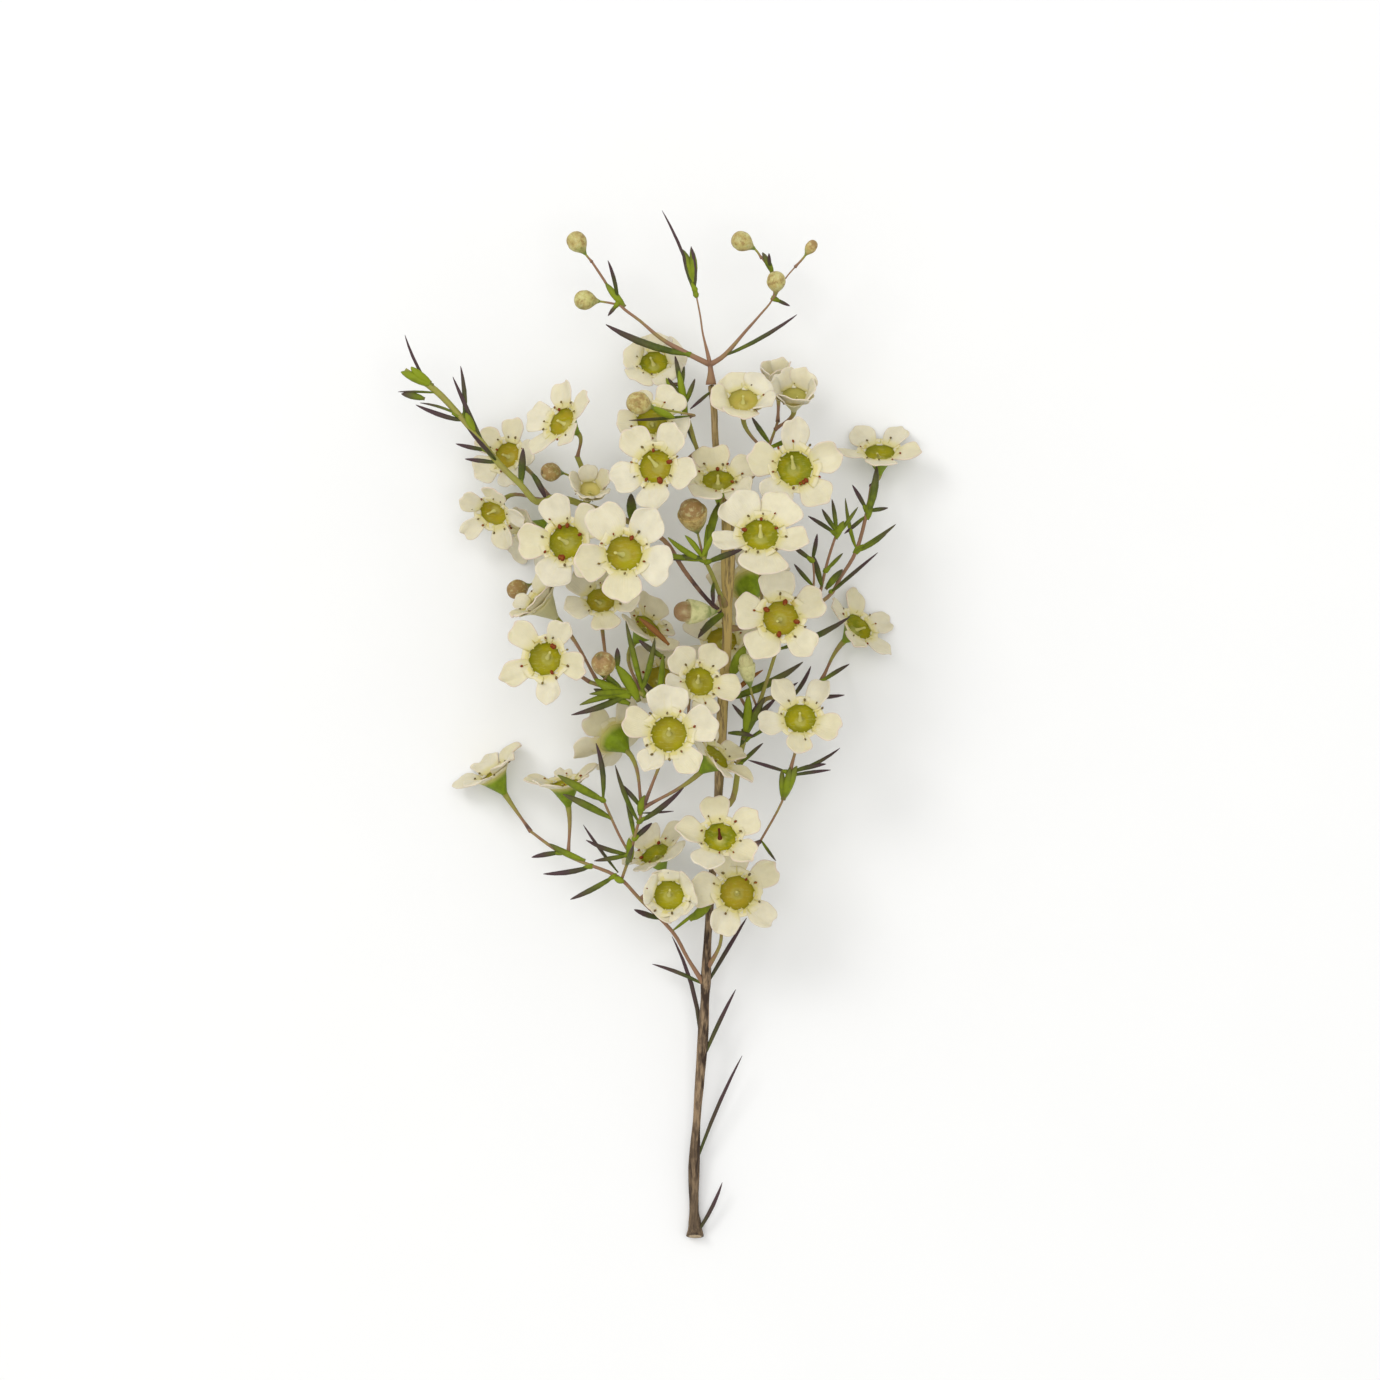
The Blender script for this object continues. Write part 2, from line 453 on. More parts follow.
# Short thick leaves at the nodes and shoot tips: foot, tip, half width and green, as above
NODE_LEAVES = {
    "twig_left": (
        ((-46.0, 68.0, 20.0), (-52.4, 70.8, 20.4), 1.0, 0.85),
        ((-46.4, 68.6, 20.2), (-50.4, 71.8, 20.8), 0.85, 0.95),
        ((-47.6, 65.4, 21.0), (-52.3, 66.4, 21.0), 0.7, 0.4),
        ((-37.6, 59.0, 21.8), (-39.4, 62.6, 22.2), 0.75, 0.8),
        ((-26.4, 50.8, 21.0), (-23.4, 45.2, 20.0), 0.6, 0.2),
        ((-6.0, 40.8, 16.2), (-6.4, 46.5, 18.5), 1.0, 0.45),
    ),
    "twig_top": (
        ((-7.6, 83.8, 20.6), (-11.5, 88.6, 20.6), 0.75, 0.75),
        ((6.1, 88.6, 23.0), (3.9, 95.2, 22.6), 0.75, 0.65),
        ((6.1, 88.6, 23.0), (5.6, 95.6, 23.6), 0.75, 0.65),
        ((22.0, 90.6, 17.2), (19.9, 94.8, 17.6), 0.65, 0.5),
    ),
    "twig_centre": (
        ((8.2, 33.4, 28.8), (1.2, 33.2, 28.4), 0.65, 0.3),
        ((7.8, 33.6, 29.0), (4.4, 38.0, 30.0), 0.55, 0.9),
        ((7.8, 33.6, 29.0), (10.0, 38.2, 30.2), 0.6, 0.95),
        ((9.0, 36.6, 28.2), (11.2, 44.6, 26.6), 0.85, 0.6),
        ((10.1, 28.6, 26.0), (10.2, 24.2, 27.6), 0.45, 0.2),
    ),
    "twig_centre_left": (
        ((-4.8, 4.9, 26.4), (-9.4, 12.2, 28.6), 1.1, 0.95),
        ((-6.4, 5.8, 26.8), (-13.6, 9.4, 28.6), 1.1, 0.95),
        ((-6.6, 4.4, 26.2), (-13.8, 7.4, 27.6), 0.85, 0.5),
        ((-9.2, 11.4, 28.2), (-9.1, 15.6, 29.4), 0.6, 0.3),
        ((0.4, 13.6, 27.2), (-4.8, 17.2, 28.8), 0.6, 0.3),
        ((1.2, 16.2, 27.0), (-4.8, 21.6, 28.4), 0.6, -1.0),
    ),
    "twig_side": (
        ((15.6, -4.4, 17.6), (19.0, 4.6, 20.0), 0.7, 0.3),
        ((17.0, 6.0, 20.6), (16.3, -1.8, 18.8), 0.9, 1.0),
        ((13.2, 5.6, 19.8), (20.0, 11.2, 21.6), 0.5, -0.5),
        ((15.8, -1.0, 17.6), (22.6, 5.6, 20.8), 0.6, 0.25),
        ((16.0, -2.8, 18.4), (20.4, 5.8, 20.2), 0.8, 0.5),
        ((13.0, -1.4, 19.6), (18.2, -2.0, 19.8), 0.5, 0.35),
        ((13.6, 10.0, 21.0), (16.4, 16.0, 22.6), 1.2, 0.8),
        ((23.2, 15.4, 25.0), (37.4, 21.9, 21.0), 0.62, 0.35),
    ),
    "twig_lower_right": (
        ((24.0, -14.8, 18.0), (26.8, -8.0, 19.0), 1.0, 0.7),
        ((24.0, -14.8, 18.0), (23.8, -8.6, 18.8), 0.65, 0.6),
        ((26.2, -9.0, 18.6), (32.6, -7.6, 19.4), 0.5, 0.2),
        ((24.2, -14.6, 18.4), (25.4, -8.2, 19.4), 0.8, 0.65),
    ),
    "twig_lower_left": (
        ((-15.6, -27.0, 12.8), (-22.8, -23.6, 12.0), 0.65, 0.6),
        ((-6.6, -27.2, 16.2), (-6.8, -22.4, 19.0), 0.8, 0.8),
        ((-9.0, -29.4, 14.2), (-16.0, -19.8, 15.6), 0.34, 0.1),
        ((-4.2, -17.4, 22.2), (2.2, -17.0, 22.8), 0.24, 0.0),
        ((-9.8, -30.4, 13.8), (-7.8, -31.4, 14.4), 0.7, 0.8),
        ((-4.6, -17.8, 21.8), (-3.6, -13.8, 24.0), 0.8, 0.7),
        ((5.4, -38.8, 15.0), (9.8, -34.8, 17.2), 1.0, 0.75),
    ),
    "twig_upper_centre": (
        ((4.6, 61.4, 19.8), (3.2, 71.0, 21.8), 0.8, 0.9), ((3.6, 65.2, 20.4), (0.6, 69.6, 21.6), 0.6, 0.8),
        ((-2.2, 63.5, 32.5), (2.4, 61.4, 30.6), 0.75, 0.95),
        ((5.8, 61.9, 28.2), (-6.8, 60.9, 29.6), 0.32, 0.3),
    ),
    "twig_right": (
        ((31.8, 27.8, 17.4), (29.9, 34.4, 19.6), 0.6, 0.3),
        ((34.6, 37.4, 18.8), (36.2, 41.0, 19.6), 0.7, 0.75),
        ((41.0, 41.4, 9.6), (41.4, 45.6, 9.4), 0.75, 0.6),
        ((41.0, 42.4, 9.8), (42.9, 52.2, 9.0), 0.8, 0.45),
        ((32.6, 27.4, 15.0), (36.0, 31.4, 15.2), 0.7, 0.5),
    ),
}

# Twig wood: thickness against the solid's at foot and tip, and colour there: 0 yellow-green, 1 pink-brown,
# 2 purple
TWIG_LOOKS = {
    "twig_top": (1.0, 0.62, 1.1, 0.9), "twig_left": (0.65, 1.05, 1.9, 0.0),
    "twig_centre": (0.7, 0.75, 0.5, 0.1),
    "twig_upper_centre": (0.7, 0.75, 0.9, 0.3), "twig_upper_right": (0.7, 0.62, 0.8, 0.6),
    "twig_right": (0.68, 0.6, 0.9, 0.85), "twig_side": (1.0, 0.75, 0.2, 0.4),
    "twig_lower_left": (0.55, 0.58, 1.1, 0.75),
    "twig_centre_left": (0.8, 0.75, 0.6, 0.3), "twig_lower_right": (0.58, 0.5, 0.6, 0.7),
}

# Single shoots thinner than their twig: twig and place in its list, share of its thickness
SLIM_SHOOTS = {("twig_top", 0): 0.6, ("twig_top", 2): 0.6, ("twig_top", 3): 0.6, ("twig_right", 2): 0.8}

TONE_HASTE = 2.4  # a twig has its tip's colour from 1 / this of its length

# Blooms: place of the disc's centre, lean from straight up and where it leans to in degrees, turn of the
# first petal, size against a full-grown bloom, length of its petals against that, their rise in degrees,
# and where the stalk joins its twig
BLOOMS = (
    Bloom("01", "twig_upper_centre", -1.8, 72.6, 15.6, 35, 95, 20, 0.85, 0.66, 25, (3.4, 68.2)),
    Bloom("02", "twig_left", -20.0, 60.6, 27.0, 50, 145, 20, 0.92, 1.0, 14, (-16.0, 54.0)),
    Bloom("03", "twig_left", -31.2, 54.2, 12.0, 35, 150, 70, 0.84, 1.0, 14, (-22.4, 45.6)),
    Bloom("04", "twig_left", -34.0, 42.8, 12.0, 42, 235, 2, 0.84, 1.0, 14, (-23.6, 45.4)),
    Bloom("05", "twig_left", -19.2, 36.6, 31.0, 20, 150, 35, 1.04, 1.0, 14, (-16.5, 44.4)),
    Bloom("06", "twig_left", -7.6, 34.2, 44.0, 10, 90, 50, 1.06, 1.05, 14, (-6.0, 38.0)),
    Bloom("07", "twig_upper_centre", -1.4, 51.6, 36.0, 20, 160, 56, 1.0, 1.0, 14, (7.0, 55.0)),
    Bloom("08", "twig_upper_centre", -2.2, 60.8, 26.0, 25, 90, 46, 0.9, 1.0, 14, (5.4, 60.2)),
    Bloom("09", "twig_upper_right", 11.0, 48.8, 29.4, 50, 90, 30, 0.95, 1.0, 14, (15.4, 47.8)),
    Bloom("10", "twig_right", 19.4, 37.8, 42.0, 30, 90, 54, 1.06, 1.05, 14, (20.0, 20.4)),
    Bloom("11", "twig_upper_right", 26.2, 51.2, 32.2, 12, 60, 20, 1.05, 1.0, 14, (19.6, 52.0)),
    Bloom("12", "twig_upper_right", 16.0, 64.8, 28.0, 42, 90, 48, 0.9, 0.66, 32, (20.6, 54.6)),
    Bloom("13", "twig_upper_right", 26.2, 65.8, 21.0, 46, 90, 54, 0.76, 0.8, 60, (22.4, 59.4)),
    Bloom("14", "twig_upper_right", 22.8, 69.4, 12.4, 62, 96, 0, 0.56, 0.9, 70, (23.0, 61.0)),
    Bloom("15", "twig_right", 43.6, 54.8, 5.9, 58, 90, 54, 0.92, 1.0, 14, (41.8, 48.2)),
    Bloom("16", "twig_side", 39.2, 19.8, 5.6, 55, 45, 20, 0.92, 1.0, 14, (31.8, 9.2)),
    Bloom("17", "twig_side", 23.4, 21.4, 34.0, 8, 90, 24, 1.04, 1.0, 12, (22.6, 15.0)),
    Bloom("18", "twig_lower_right", 27.4, 1.4, 27.0, 25, 90, 52, 0.95, 1.0, 14, (25.4, -9.2)),
    Bloom("19", "twig_right", 17.4, 28.2, 13.0, 150, 110, 20, 0.95, 1.0, 14, (19.0, 20.2)),
    Bloom("20", "twig_side", 11.8, 17.0, 7.6, 30, 90, 10, 0.9, 1.0, 14, (18.0, 1.2)),
    Bloom("21", "twig_centre_left", -23.4, 13.4, 30.0, 15, 180, -11, 0.98, 1.0, 12, (-14.6, 8.8)),
    Bloom("22", "twig_centre_left", -24.6, 24.8, 21.0, 70, 135, 28, 0.95, 0.8, 45, (-12.6, 8.2)),
    Bloom("23", "twig_centre_left", -12.4, 25.0, 24.0, 30, 90, 64, 0.85, 1.0, 14, (-10.6, 7.6)),
    Bloom("24", "twig_centre_left", -3.2, 19.8, 18.4, 60, 50, 72, 0.9, 1.0, 14, (-4.6, 6.6)),
    Bloom("25", "twig_centre_left", -0.6, 9.2, 11.0, 35, 60, 0, 0.9, 1.0, 14, (6.4, -0.6)),
    Bloom("26", "twig_centre_left", 7.2, 8.8, 31.0, 25, 45, 61, 0.9, 1.0, 14, (5.0, 0.4)),
    Bloom("27", "twig_lower_left", 1.2, -1.6, 40.0, 8, 90, 18, 1.06, 1.0, 12, (-4.0, -16.4)),
    Bloom("28", "twig_lower_left", -9.8, -2.4, 12.0, 130, 135, 27, 0.95, 1.0, 14, (-4.2, -16.8)),
    Bloom("29", "twig_lower_left", -19.8, -11.8, 13.0, 75, 100, 28, 0.9, 1.0, 20, (-19.0, -26.0)),
    Bloom("30", "twig_lower_left", -34.2, -10.0, 5.4, 78, 122, 50, 0.88, 1.0, 30, (-26.6, -21.2)),
    Bloom("31", "twig_lower_left", 10.6, -6.2, 29.0, 68, 44, 30, 0.9, 1.0, 14, (-4.0, -16.4)),
    Bloom("32", "twig_lower_right", 11.4, -22.2, 32.4, 30, 90, 30, 0.96, 1.0, 14, (19.4, -23.2)),
    Bloom("33", "twig_lower_right", 14.8, -33.4, 19.6, 8, 90, 31, 1.02, 1.0, 12, (12.0, -41.0)),
    Bloom("34", "twig_lower_left", 1.2, -33.8, 25.0, 10, 90, 20, 0.9, 0.36, 20, (-1.4, -38.0)),
    Bloom("35", "twig_lower_left", -1.6, -25.8, 12.0, 58, 118, 46, 0.88, 1.0, 14, (-4.6, -34.8)),
    Bloom("36", "twig_left", -14.6, 47.0, 25.0, 35, 80, 30, 0.64, 0.9, 58, (-15.3, 48.0)),
    Bloom("37", "twig_left", -26.4, 38.6, 5.2, 55, 225, 9, 0.88, 1.0, 14, (-20.0, 45.4)),
)

# Breadth and length of each bloom's five petals against the usual, from the first on round, in hundredths
PETAL_FORMS = {
    "01": ((150, 108), (150, 104), (140, 96), (135, 96), (145, 100)),
    "02": ((78, 100), (84, 96), (92, 100), (104, 104), (80, 98)),
    "03": ((84, 98), (92, 100), (96, 96), (74, 92), (86, 100)),
    "04": ((66, 104), (84, 92), (78, 86), (60, 108), (90, 100)),
    "05": ((98, 96), (84, 100), (92, 98), (100, 96), (94, 100)),
    "06": ((92, 104), (104, 104), (92, 98), (94, 98), (98, 96)),
    "07": ((92, 98), (88, 100), (96, 96), (90, 98), (94, 100)),
    "08": ((104, 92), (80, 64), (90, 76), (110, 90), (104, 92)),
    "09": ((90, 92), (112, 96), (92, 96), (96, 90), (100, 92)),
    "10": ((116, 92), (122, 94), (70, 104), (124, 98), (88, 92)),
    "11": ((84, 96), (76, 104), (88, 98), (94, 98), (90, 96)),
    "12": ((128, 100), (132, 96), (124, 104), (138, 96), (130, 100)),
    "13": ((150, 100), (150, 96), (150, 100), (150, 96), (150, 100)),
    "14": ((150, 100), (145, 96), (150, 100), (150, 96), (150, 100)),
    "15": ((76, 100), (80, 98), (62, 108), (96, 92), (84, 98)),
    "16": ((76, 96), (72, 100), (84, 96), (72, 104), (80, 92)),
    "17": ((84, 98), (98, 100), (92, 92), (96, 98), (80, 98)),
    "18": ((70, 102), (66, 104), (72, 98), (76, 94), (80, 98)),
    "20": ((96, 96), (100, 96), (90, 100), (96, 96), (98, 98)),
    "21": ((74, 98), (68, 92), (78, 100), (70, 104), (70, 98)),
    "22": ((96, 96), (74, 80), (58, 66), (84, 80), (104, 96)),
    "23": ((112, 104), (104, 100), (84, 98), (92, 98), (100, 98)),
    "24": ((110, 104), (96, 92), (112, 106), (96, 90), (80, 54)),
    "26": ((92, 96), (96, 92), (92, 96), (84, 92), (88, 96)),
    "27": ((92, 98), (106, 96), (84, 96), (66, 82), (78, 94)),
    "29": ((84, 92), (58, 62), (80, 96), (96, 100), (70, 84)),
    "31": ((84, 96), (80, 96), (84, 92), (90, 98), (80, 96)),
    "32": ((80, 98), (80, 98), (84, 96), (90, 96), (80, 98)),
    "33": ((72, 98), (104, 96), (98, 98), (86, 96), (72, 98)),
    "34": ((170, 112), (160, 106), (165, 110), (170, 104), (165, 110)),
    "35": ((130, 108), (104, 92), (74, 76), (84, 76), (104, 92)),
    "36": ((112, 100), (96, 92), (118, 100), (100, 96), (108, 90)),
}

# Fresh red anthers at the inner rim: bloom, and heading and size of each
RED_ANTHERS = {
    "05": ((112, 0.5), (84, 0.5), (252, 0.5), (262, 0.62), (24, 0.42)), "06": ((64, 0.5),),
    "07": ((292, 0.75), (14, 0.6), (238, 0.42), (96, 0.42)), "09": ((92, 0.5), (340, 0.4)),
    "10": ((165, 0.5), (22, 0.36), (88, 0.36)), "11": ((300, 0.45), (312, 0.5), (288, 0.35)),
    "17": ((74, 0.6), (149, 0.62), (347, 0.6), (265, 0.6)), "21": ((60, 0.45), (50, 0.5), (300, 0.45)),
    "33": ((55, 0.3),), "35": ((80, 0.5), (200, 0.5)), "03": ((150, 0.35),), "02": ((110, 0.4),),
}

# How golden a bowl is, from 0 for olive green to 1; the rest are drawn
BOWL_TONES = {
    "03": 0.75, "06": 0.55, "07": 0.5, "10": 0.15, "11": 0.1, "17": 0.55, "18": 0.25, "27": 0.45, "32": 0.0,
    "33": 0.68, "34": 0.3, "05": 0.3, "21": 0.35, "26": 0.4,
}
DARK_STYLES = ("32",)  # blooms whose style has darkened

# Heading that a bloom's style leans to, and how far, against the usual
STYLES = {
    "05": (150, 1.1), "06": (178, 1.2), "07": (125, 1.6), "10": (92, 1.3), "11": (104, 1.6),
    "17": (225, 0.6),
    "18": (95, 0.8), "21": (50, 1.2), "26": (100, 0.9), "27": (88, 0.7), "32": (98, 1.2), "33": (120, 0.1),
    "34": (80, 0.8), "09": (92, 0.9), "12": (90, 0.7),
}
PALE_CUPS = ("22", "13")  # blooms whose cup is whitish outside
PALE_BOWLS = {"14": 1.0, "36": 1.0, "12": 0.45, "13": 0.6}  # how far a young bowl is still cream

# Buds: place of the middle, lean and where to in degrees, width, length, and where its stalk joins
BUDS = (
    Bud("A", "twig_left", -22.4, 50.8, 20.0, 60, 175, 4.0, 4.2, (-15.4, 47.4)),
    Bud("B", "twig_top", -17.2, 96.8, 20.0, 80, 125, 4.2, 4.4, (-14.2, 92.8)),
    Bud("C", "twig_top", -15.6, 85.2, 20.0, 80, 175, 4.2, 4.4, (-8.6, 84.2)),
    Bud("D", "twig_top", 15.8, 97.0, 18.0, 80, 150, 4.2, 4.4, (19.8, 93.6)),
    Bud("E", "twig_top", 22.6, 88.8, 22.6, 60, 90, 4.0, 4.2, (21.8, 85.2)),
    Bud("F", "twig_top", 29.6, 95.8, 19.0, 80, 55, 2.4, 3.2, (26.4, 91.8)),
    Bud("G", "twig_left", -29.2, 27.4, 13.0, 60, 200, 4.2, 4.4, (-12.0, 41.8)),
    Bud("H", "twig_upper_centre", -4.8, 64.2, 34.0, 60, 165, 4.8, 5.0, (5.2, 61.6)),
    Bud("I", "twig_centre", 6.0, 41.9, 31.0, 50, 105, 6.2, 7.2, (8.0, 33.8)),
    Bud("J", "twig_centre_left", -11.8, 12.4, 33.0, 30, 120, 5.0, 5.4, (-12.6, 8.2)),
    Bud("K", "twig_centre", 6.0, 22.8, 31.0, 70, 180, 5.2, 8.0, (11.6, 26.0)),
    Bud("L", "twig_side", 16.8, 11.4, 24.0, 70, 100, 3.6, 6.4, (19.0, 3.4)),
)

# Stalks that first climb past the petals beside them, and the point they climb to
CLIMBS = {"bud_H": (6.2, 62.0, 28.4)}

# How far each bud's own green has gone to tan, from 0 to 1; above 1 it browns and below 0 it pales to cream
BUD_TONES = {"I": 0.95, "K": -0.6, "L": -0.4, "C": 0.35, "G": 1.6, "A": 1.35, "J": 1.15, "F": 0.9, "H": 0.6}
OPENING = ("I", "K", "L")  # buds about to open


def colour(name, description, red, green, blue):
    return FloatVectorProperty(name=name, description=description, default=(red, green, blue), size=3,
                               subtype="COLOR", min=0.0, max=1.0)


def distance(name, description, millimetres):
    return FloatProperty(name=name, description=description, default=millimetres * MM, min=0.0, unit="LENGTH",
                         subtype="DISTANCE")


def share(name, description, value):
    return FloatProperty(name=name, description=description, default=value, min=0.0, max=1.0,
                         subtype="FACTOR")


class WaxflowerPetals(bpy.types.PropertyGroup):
    """The white of the blooms."""

    thickness: distance("Thickness", "Thickness of a petal", 0.34)
    cupping: share("Cupping", "How far a petal's sides turn up, against its half width", 0.18)
    ruffle: distance("Ruffle", "Height of the waves at a petal's edge", 0.26)
    white: colour("White", "Most of a petal", 0.68, 0.63, 0.48)
    claw: colour("Claw", "The petal beside the bowl", 0.61, 0.54, 0.22)
    fringe: colour("Fringe", "The petal's edge", 0.66, 0.50, 0.46)


class WaxflowerCentres(bpy.types.PropertyGroup):
    """Cup, bowl, style, rim and stamens of the blooms."""

    stamens: IntProperty(name="Stamens", description="Stamens round each bowl", default=10, min=5, max=20)
    cup: colour("Cup", "Outside of the cup", 0.155, 0.215, 0.008)
    bowl: colour("Bowl", "Floor of the bowl", 0.34, 0.30, 0.004)
    gold: colour("Gold", "Ripe patches in the bowl", 0.42, 0.295, 0.02)
    shade: colour("Shade", "Green wall of the bowl", 0.185, 0.205, 0.006)
    style: colour("Style", "Style that stands in the bowl", 0.50, 0.48, 0.15)
    rim: colour("Rim", "Rim of the bowl and its teeth", 0.60, 0.52, 0.18)
    collar: colour("Collar", "Broad white collar round the rim", 0.67, 0.60, 0.37)
    anther_red: colour("Red anther", "Fresh anthers", 0.21, 0.036, 0.006)
    anther_olive: colour("Olive anther", "Spent anthers", 0.14, 0.10, 0.035)


class WaxflowerGreens(bpy.types.PropertyGroup):
    """Needle leaves, twigs and pedicels."""

    needle_radius: distance("Needle radius", "Half the width of a needle leaf", 0.44)
    pedicel_radius: distance("Pedicel radius", "Half the width of a pedicel", 0.28)
    leaf_dark: colour("Dark leaf", "Old needles", 0.055, 0.072, 0.012)
    leaf_bright: colour("Bright leaf", "Young needles", 0.22, 0.275, 0.012)
    leaf_tip: colour("Leaf tip", "Tips of the needles", 0.072, 0.040, 0.043)
    leaf_foot: colour("Leaf foot", "Where a needle meets its twig", 0.20, 0.13, 0.075)
    leaf_dry: colour("Dry leaf", "Dry brown leaves", 0.24, 0.10, 0.025)
    young_bark: colour("Young bark", "Green part of a twig", 0.29, 0.28, 0.055)
    blushed_bark: colour("Blushed bark", "Brown part of a twig", 0.27, 0.15, 0.085)


class WaxflowerBark(bpy.types.PropertyGroup):
    """The woody stem."""

    relief: distance("Relief", "Depth of the bark's furrows", 0.12)
    ground: colour("Ground", "Most of the bark", 0.135, 0.092, 0.056)
    furrow: colour("Furrow", "Dark furrows in the bark", 0.036, 0.021, 0.013)
    ridge: colour("Ridge", "Light ridges of the bark", 0.325, 0.225, 0.13)
    olive: colour("Olive", "Young bark of the upper stem", 0.56, 0.41, 0.14)
    wood: colour("Cut wood", "The stem's cut end", 0.55, 0.42, 0.24)


class WaxflowerBuds(bpy.types.PropertyGroup):
    """The closed buds."""

    tan: colour("Tan", "Ripe side of a bud", 0.47, 0.34, 0.12)
    pale: colour("Pale", "Young side of a bud", 0.51, 0.48, 0.17)
    cream: colour("Cream", "Petals of a bud about to open", 0.60, 0.58, 0.28)
    blush: colour("Blush", "Blush at a bud's tip", 0.27, 0.135, 0.06)
    brown: colour("Brown", "The brownest buds", 0.27, 0.165, 0.05)
    neck: colour("Neck", "Green neck below a bud", 0.17, 0.22, 0.04)


class WaxflowerStage(bpy.types.PropertyGroup):
    """Floor, lights and camera."""

    lens: FloatProperty(name="Lens", description="Focal length in millimetres", default=300.0, min=20.0)
    floor: colour("Floor", "The pale floor", 0.86, 0.86, 0.85)
    air: FloatProperty(name="Air", description="Strength of the light from all round", default=0.7, min=0.0)
    overhead: FloatProperty(name="Overhead", description="Power of the overhead light", default=37.0, min=0.0,
                            unit="POWER")
    key: FloatProperty(name="Key", description="Power of the light at the upper left", default=17.0, min=0.0,
                       unit="POWER")


class Finish:
    """A material in the making: a ground colour, and the colours painted over it."""

    def __init__(self, name):
        self.made = bpy.data.materials.new(name)
        self.made.use_nodes = True
        self.tree = self.made.node_tree
        self.shader = self.tree.nodes["Principled BSDF"]
        self.colour = None

    def put(self, socket, value):
        if isinstance(value, bpy.types.NodeSocket):
            self.tree.links.new(value, socket)
        elif socket.type == "RGBA":
            socket.default_value = (*value[:3], 1.0)
        else:
            socket.default_value = value

    def node(self, kind, sockets, **settings):
        made = self.tree.nodes.new("ShaderNode" + kind)
        for key, value in settings.items():
            setattr(made, key, value)
        for key, value in sockets.items():
            self.put(made.inputs[key], value)
        return made

    def shade(self, **sockets):
        for key, value in sockets.items():
            self.put(self.shader.inputs[key.replace("_", " ")], value)

    def space(self, stretch=(1.0, 1.0, 1.0)):
        """The piece's own coordinates in metres, stretched."""
        own = self.node("TexCoord", {}).outputs["Object"]
        return self.node("Mapping", {"Vector": own, "Scale": stretch}).outputs["Vector"]

    def mark(self, name):
        return self.node("Attribute", {}, attribute_name=name).outputs["Fac"]

    def noise(self, vector, scale, detail=3.0, roughness=0.55):
        sockets = {"Vector": vector, "Scale": scale, "Detail": detail, "Roughness": roughness}
        return self.node("TexNoise", sockets).outputs[0]

    def cells(self, vector, scale):
        """Distance from the middle of small round cells."""
        return self.node("TexVoronoi", {"Vector": vector, "Scale": scale}).outputs["Distance"]

    def between(self, value, low, high, start=0.0, end=1.0):
        sockets = {"Value": value, "From Min": low, "From Max": high, "To Min": start, "To Max": end}
        return self.node("MapRange", sockets, interpolation_type="SMOOTHSTEP").outputs["Result"]

    def maths(self, operation, first, second):
        return self.node("Math", {0: first, 1: second}, operation=operation).outputs[0]

    def times(self, first, second):
        return self.maths("MULTIPLY", first, second)

    def plus(self, first, second):
        return self.maths("ADD", first, second)

    def ragged(self, value, patches, sway):
        """The value moved up to sway either way by a noise, so that what follows it has an uneven edge."""
        return self.plus(value, self.between(patches, 0.3, 0.7, -sway, sway))

    def mix(self, factor, first, second):
        sockets = {0: factor, MIX_FIRST: first, MIX_SECOND: second}
        return self.node("Mix", sockets, data_type="RGBA").outputs[MIX_COLOUR]

    def ground(self, factor, first, second):
        self.colour = self.mix(factor, first, second)

    def paint(self, factor, over):
        self.colour = self.mix(factor, self.colour, over)

    def sheen(self, patches, smooth, rough, **sockets):
        """Puts the colour on the shader, with a roughness that differs from patch to patch."""
        roughness = self.between(patches, 0.2, 0.8, smooth, rough)
        self.shade(Base_Color=self.colour, Roughness=roughness, **sockets)

    def bump(self, height, strength, deep):
        sockets = {"Height": height, "Strength": strength, "Distance": deep}
        self.shade(Normal=self.node("Bump", sockets).outputs["Normal"])


def toned(hue, share):
    """A colour at a share of its brightness, and never past white."""
    return tuple(min(1.0, c * share) for c in hue)


def petal_finish():
    own = bpy.context.scene.waxflower_petals
    f = Finish("petal white")
    along, across, tone = f.mark("along"), f.mark("across"), f.mark("tone")
    vein_place = {"X": f.times(across, 9.0), "Y": f.times(along, 1.3), "Z": f.times(tone, 40.0)}
    veins = f.noise(f.node("CombineXYZ", vein_place).outputs[0], 1.6, 4.0)
    mottle = f.noise(f.space(), 420.0, 4.0)
    f.ground(f.between(mottle, 0.3, 0.75), own.white, toned(own.white, 0.88))
    f.paint(f.times(tone, 0.3), own.claw)
    f.paint(f.between(veins, 0.52, 0.8, 0.0, 0.3), own.claw)
    reach = f.ragged(along, mottle, 0.06)
    f.paint(f.between(reach, 0.05, 0.34, 0.9, 0.0), own.claw)
    edge = f.maths("MAXIMUM", f.between(along, 0.9, 1.0), f.between(across, 0.88, 1.0))
    f.paint(f.times(edge, f.between(tone, 0.0, 1.0, 0.2, 0.55)), own.fringe)
    f.sheen(mottle, 0.42, 0.62)
    f.shade(Subsurface_Weight=0.22, Subsurface_Radius=(1.0, 0.8, 0.45), Subsurface_Scale=0.0012)
    f.bump(f.plus(veins, f.times(mottle, 0.5)), 0.35, 0.0002)
    return f.made


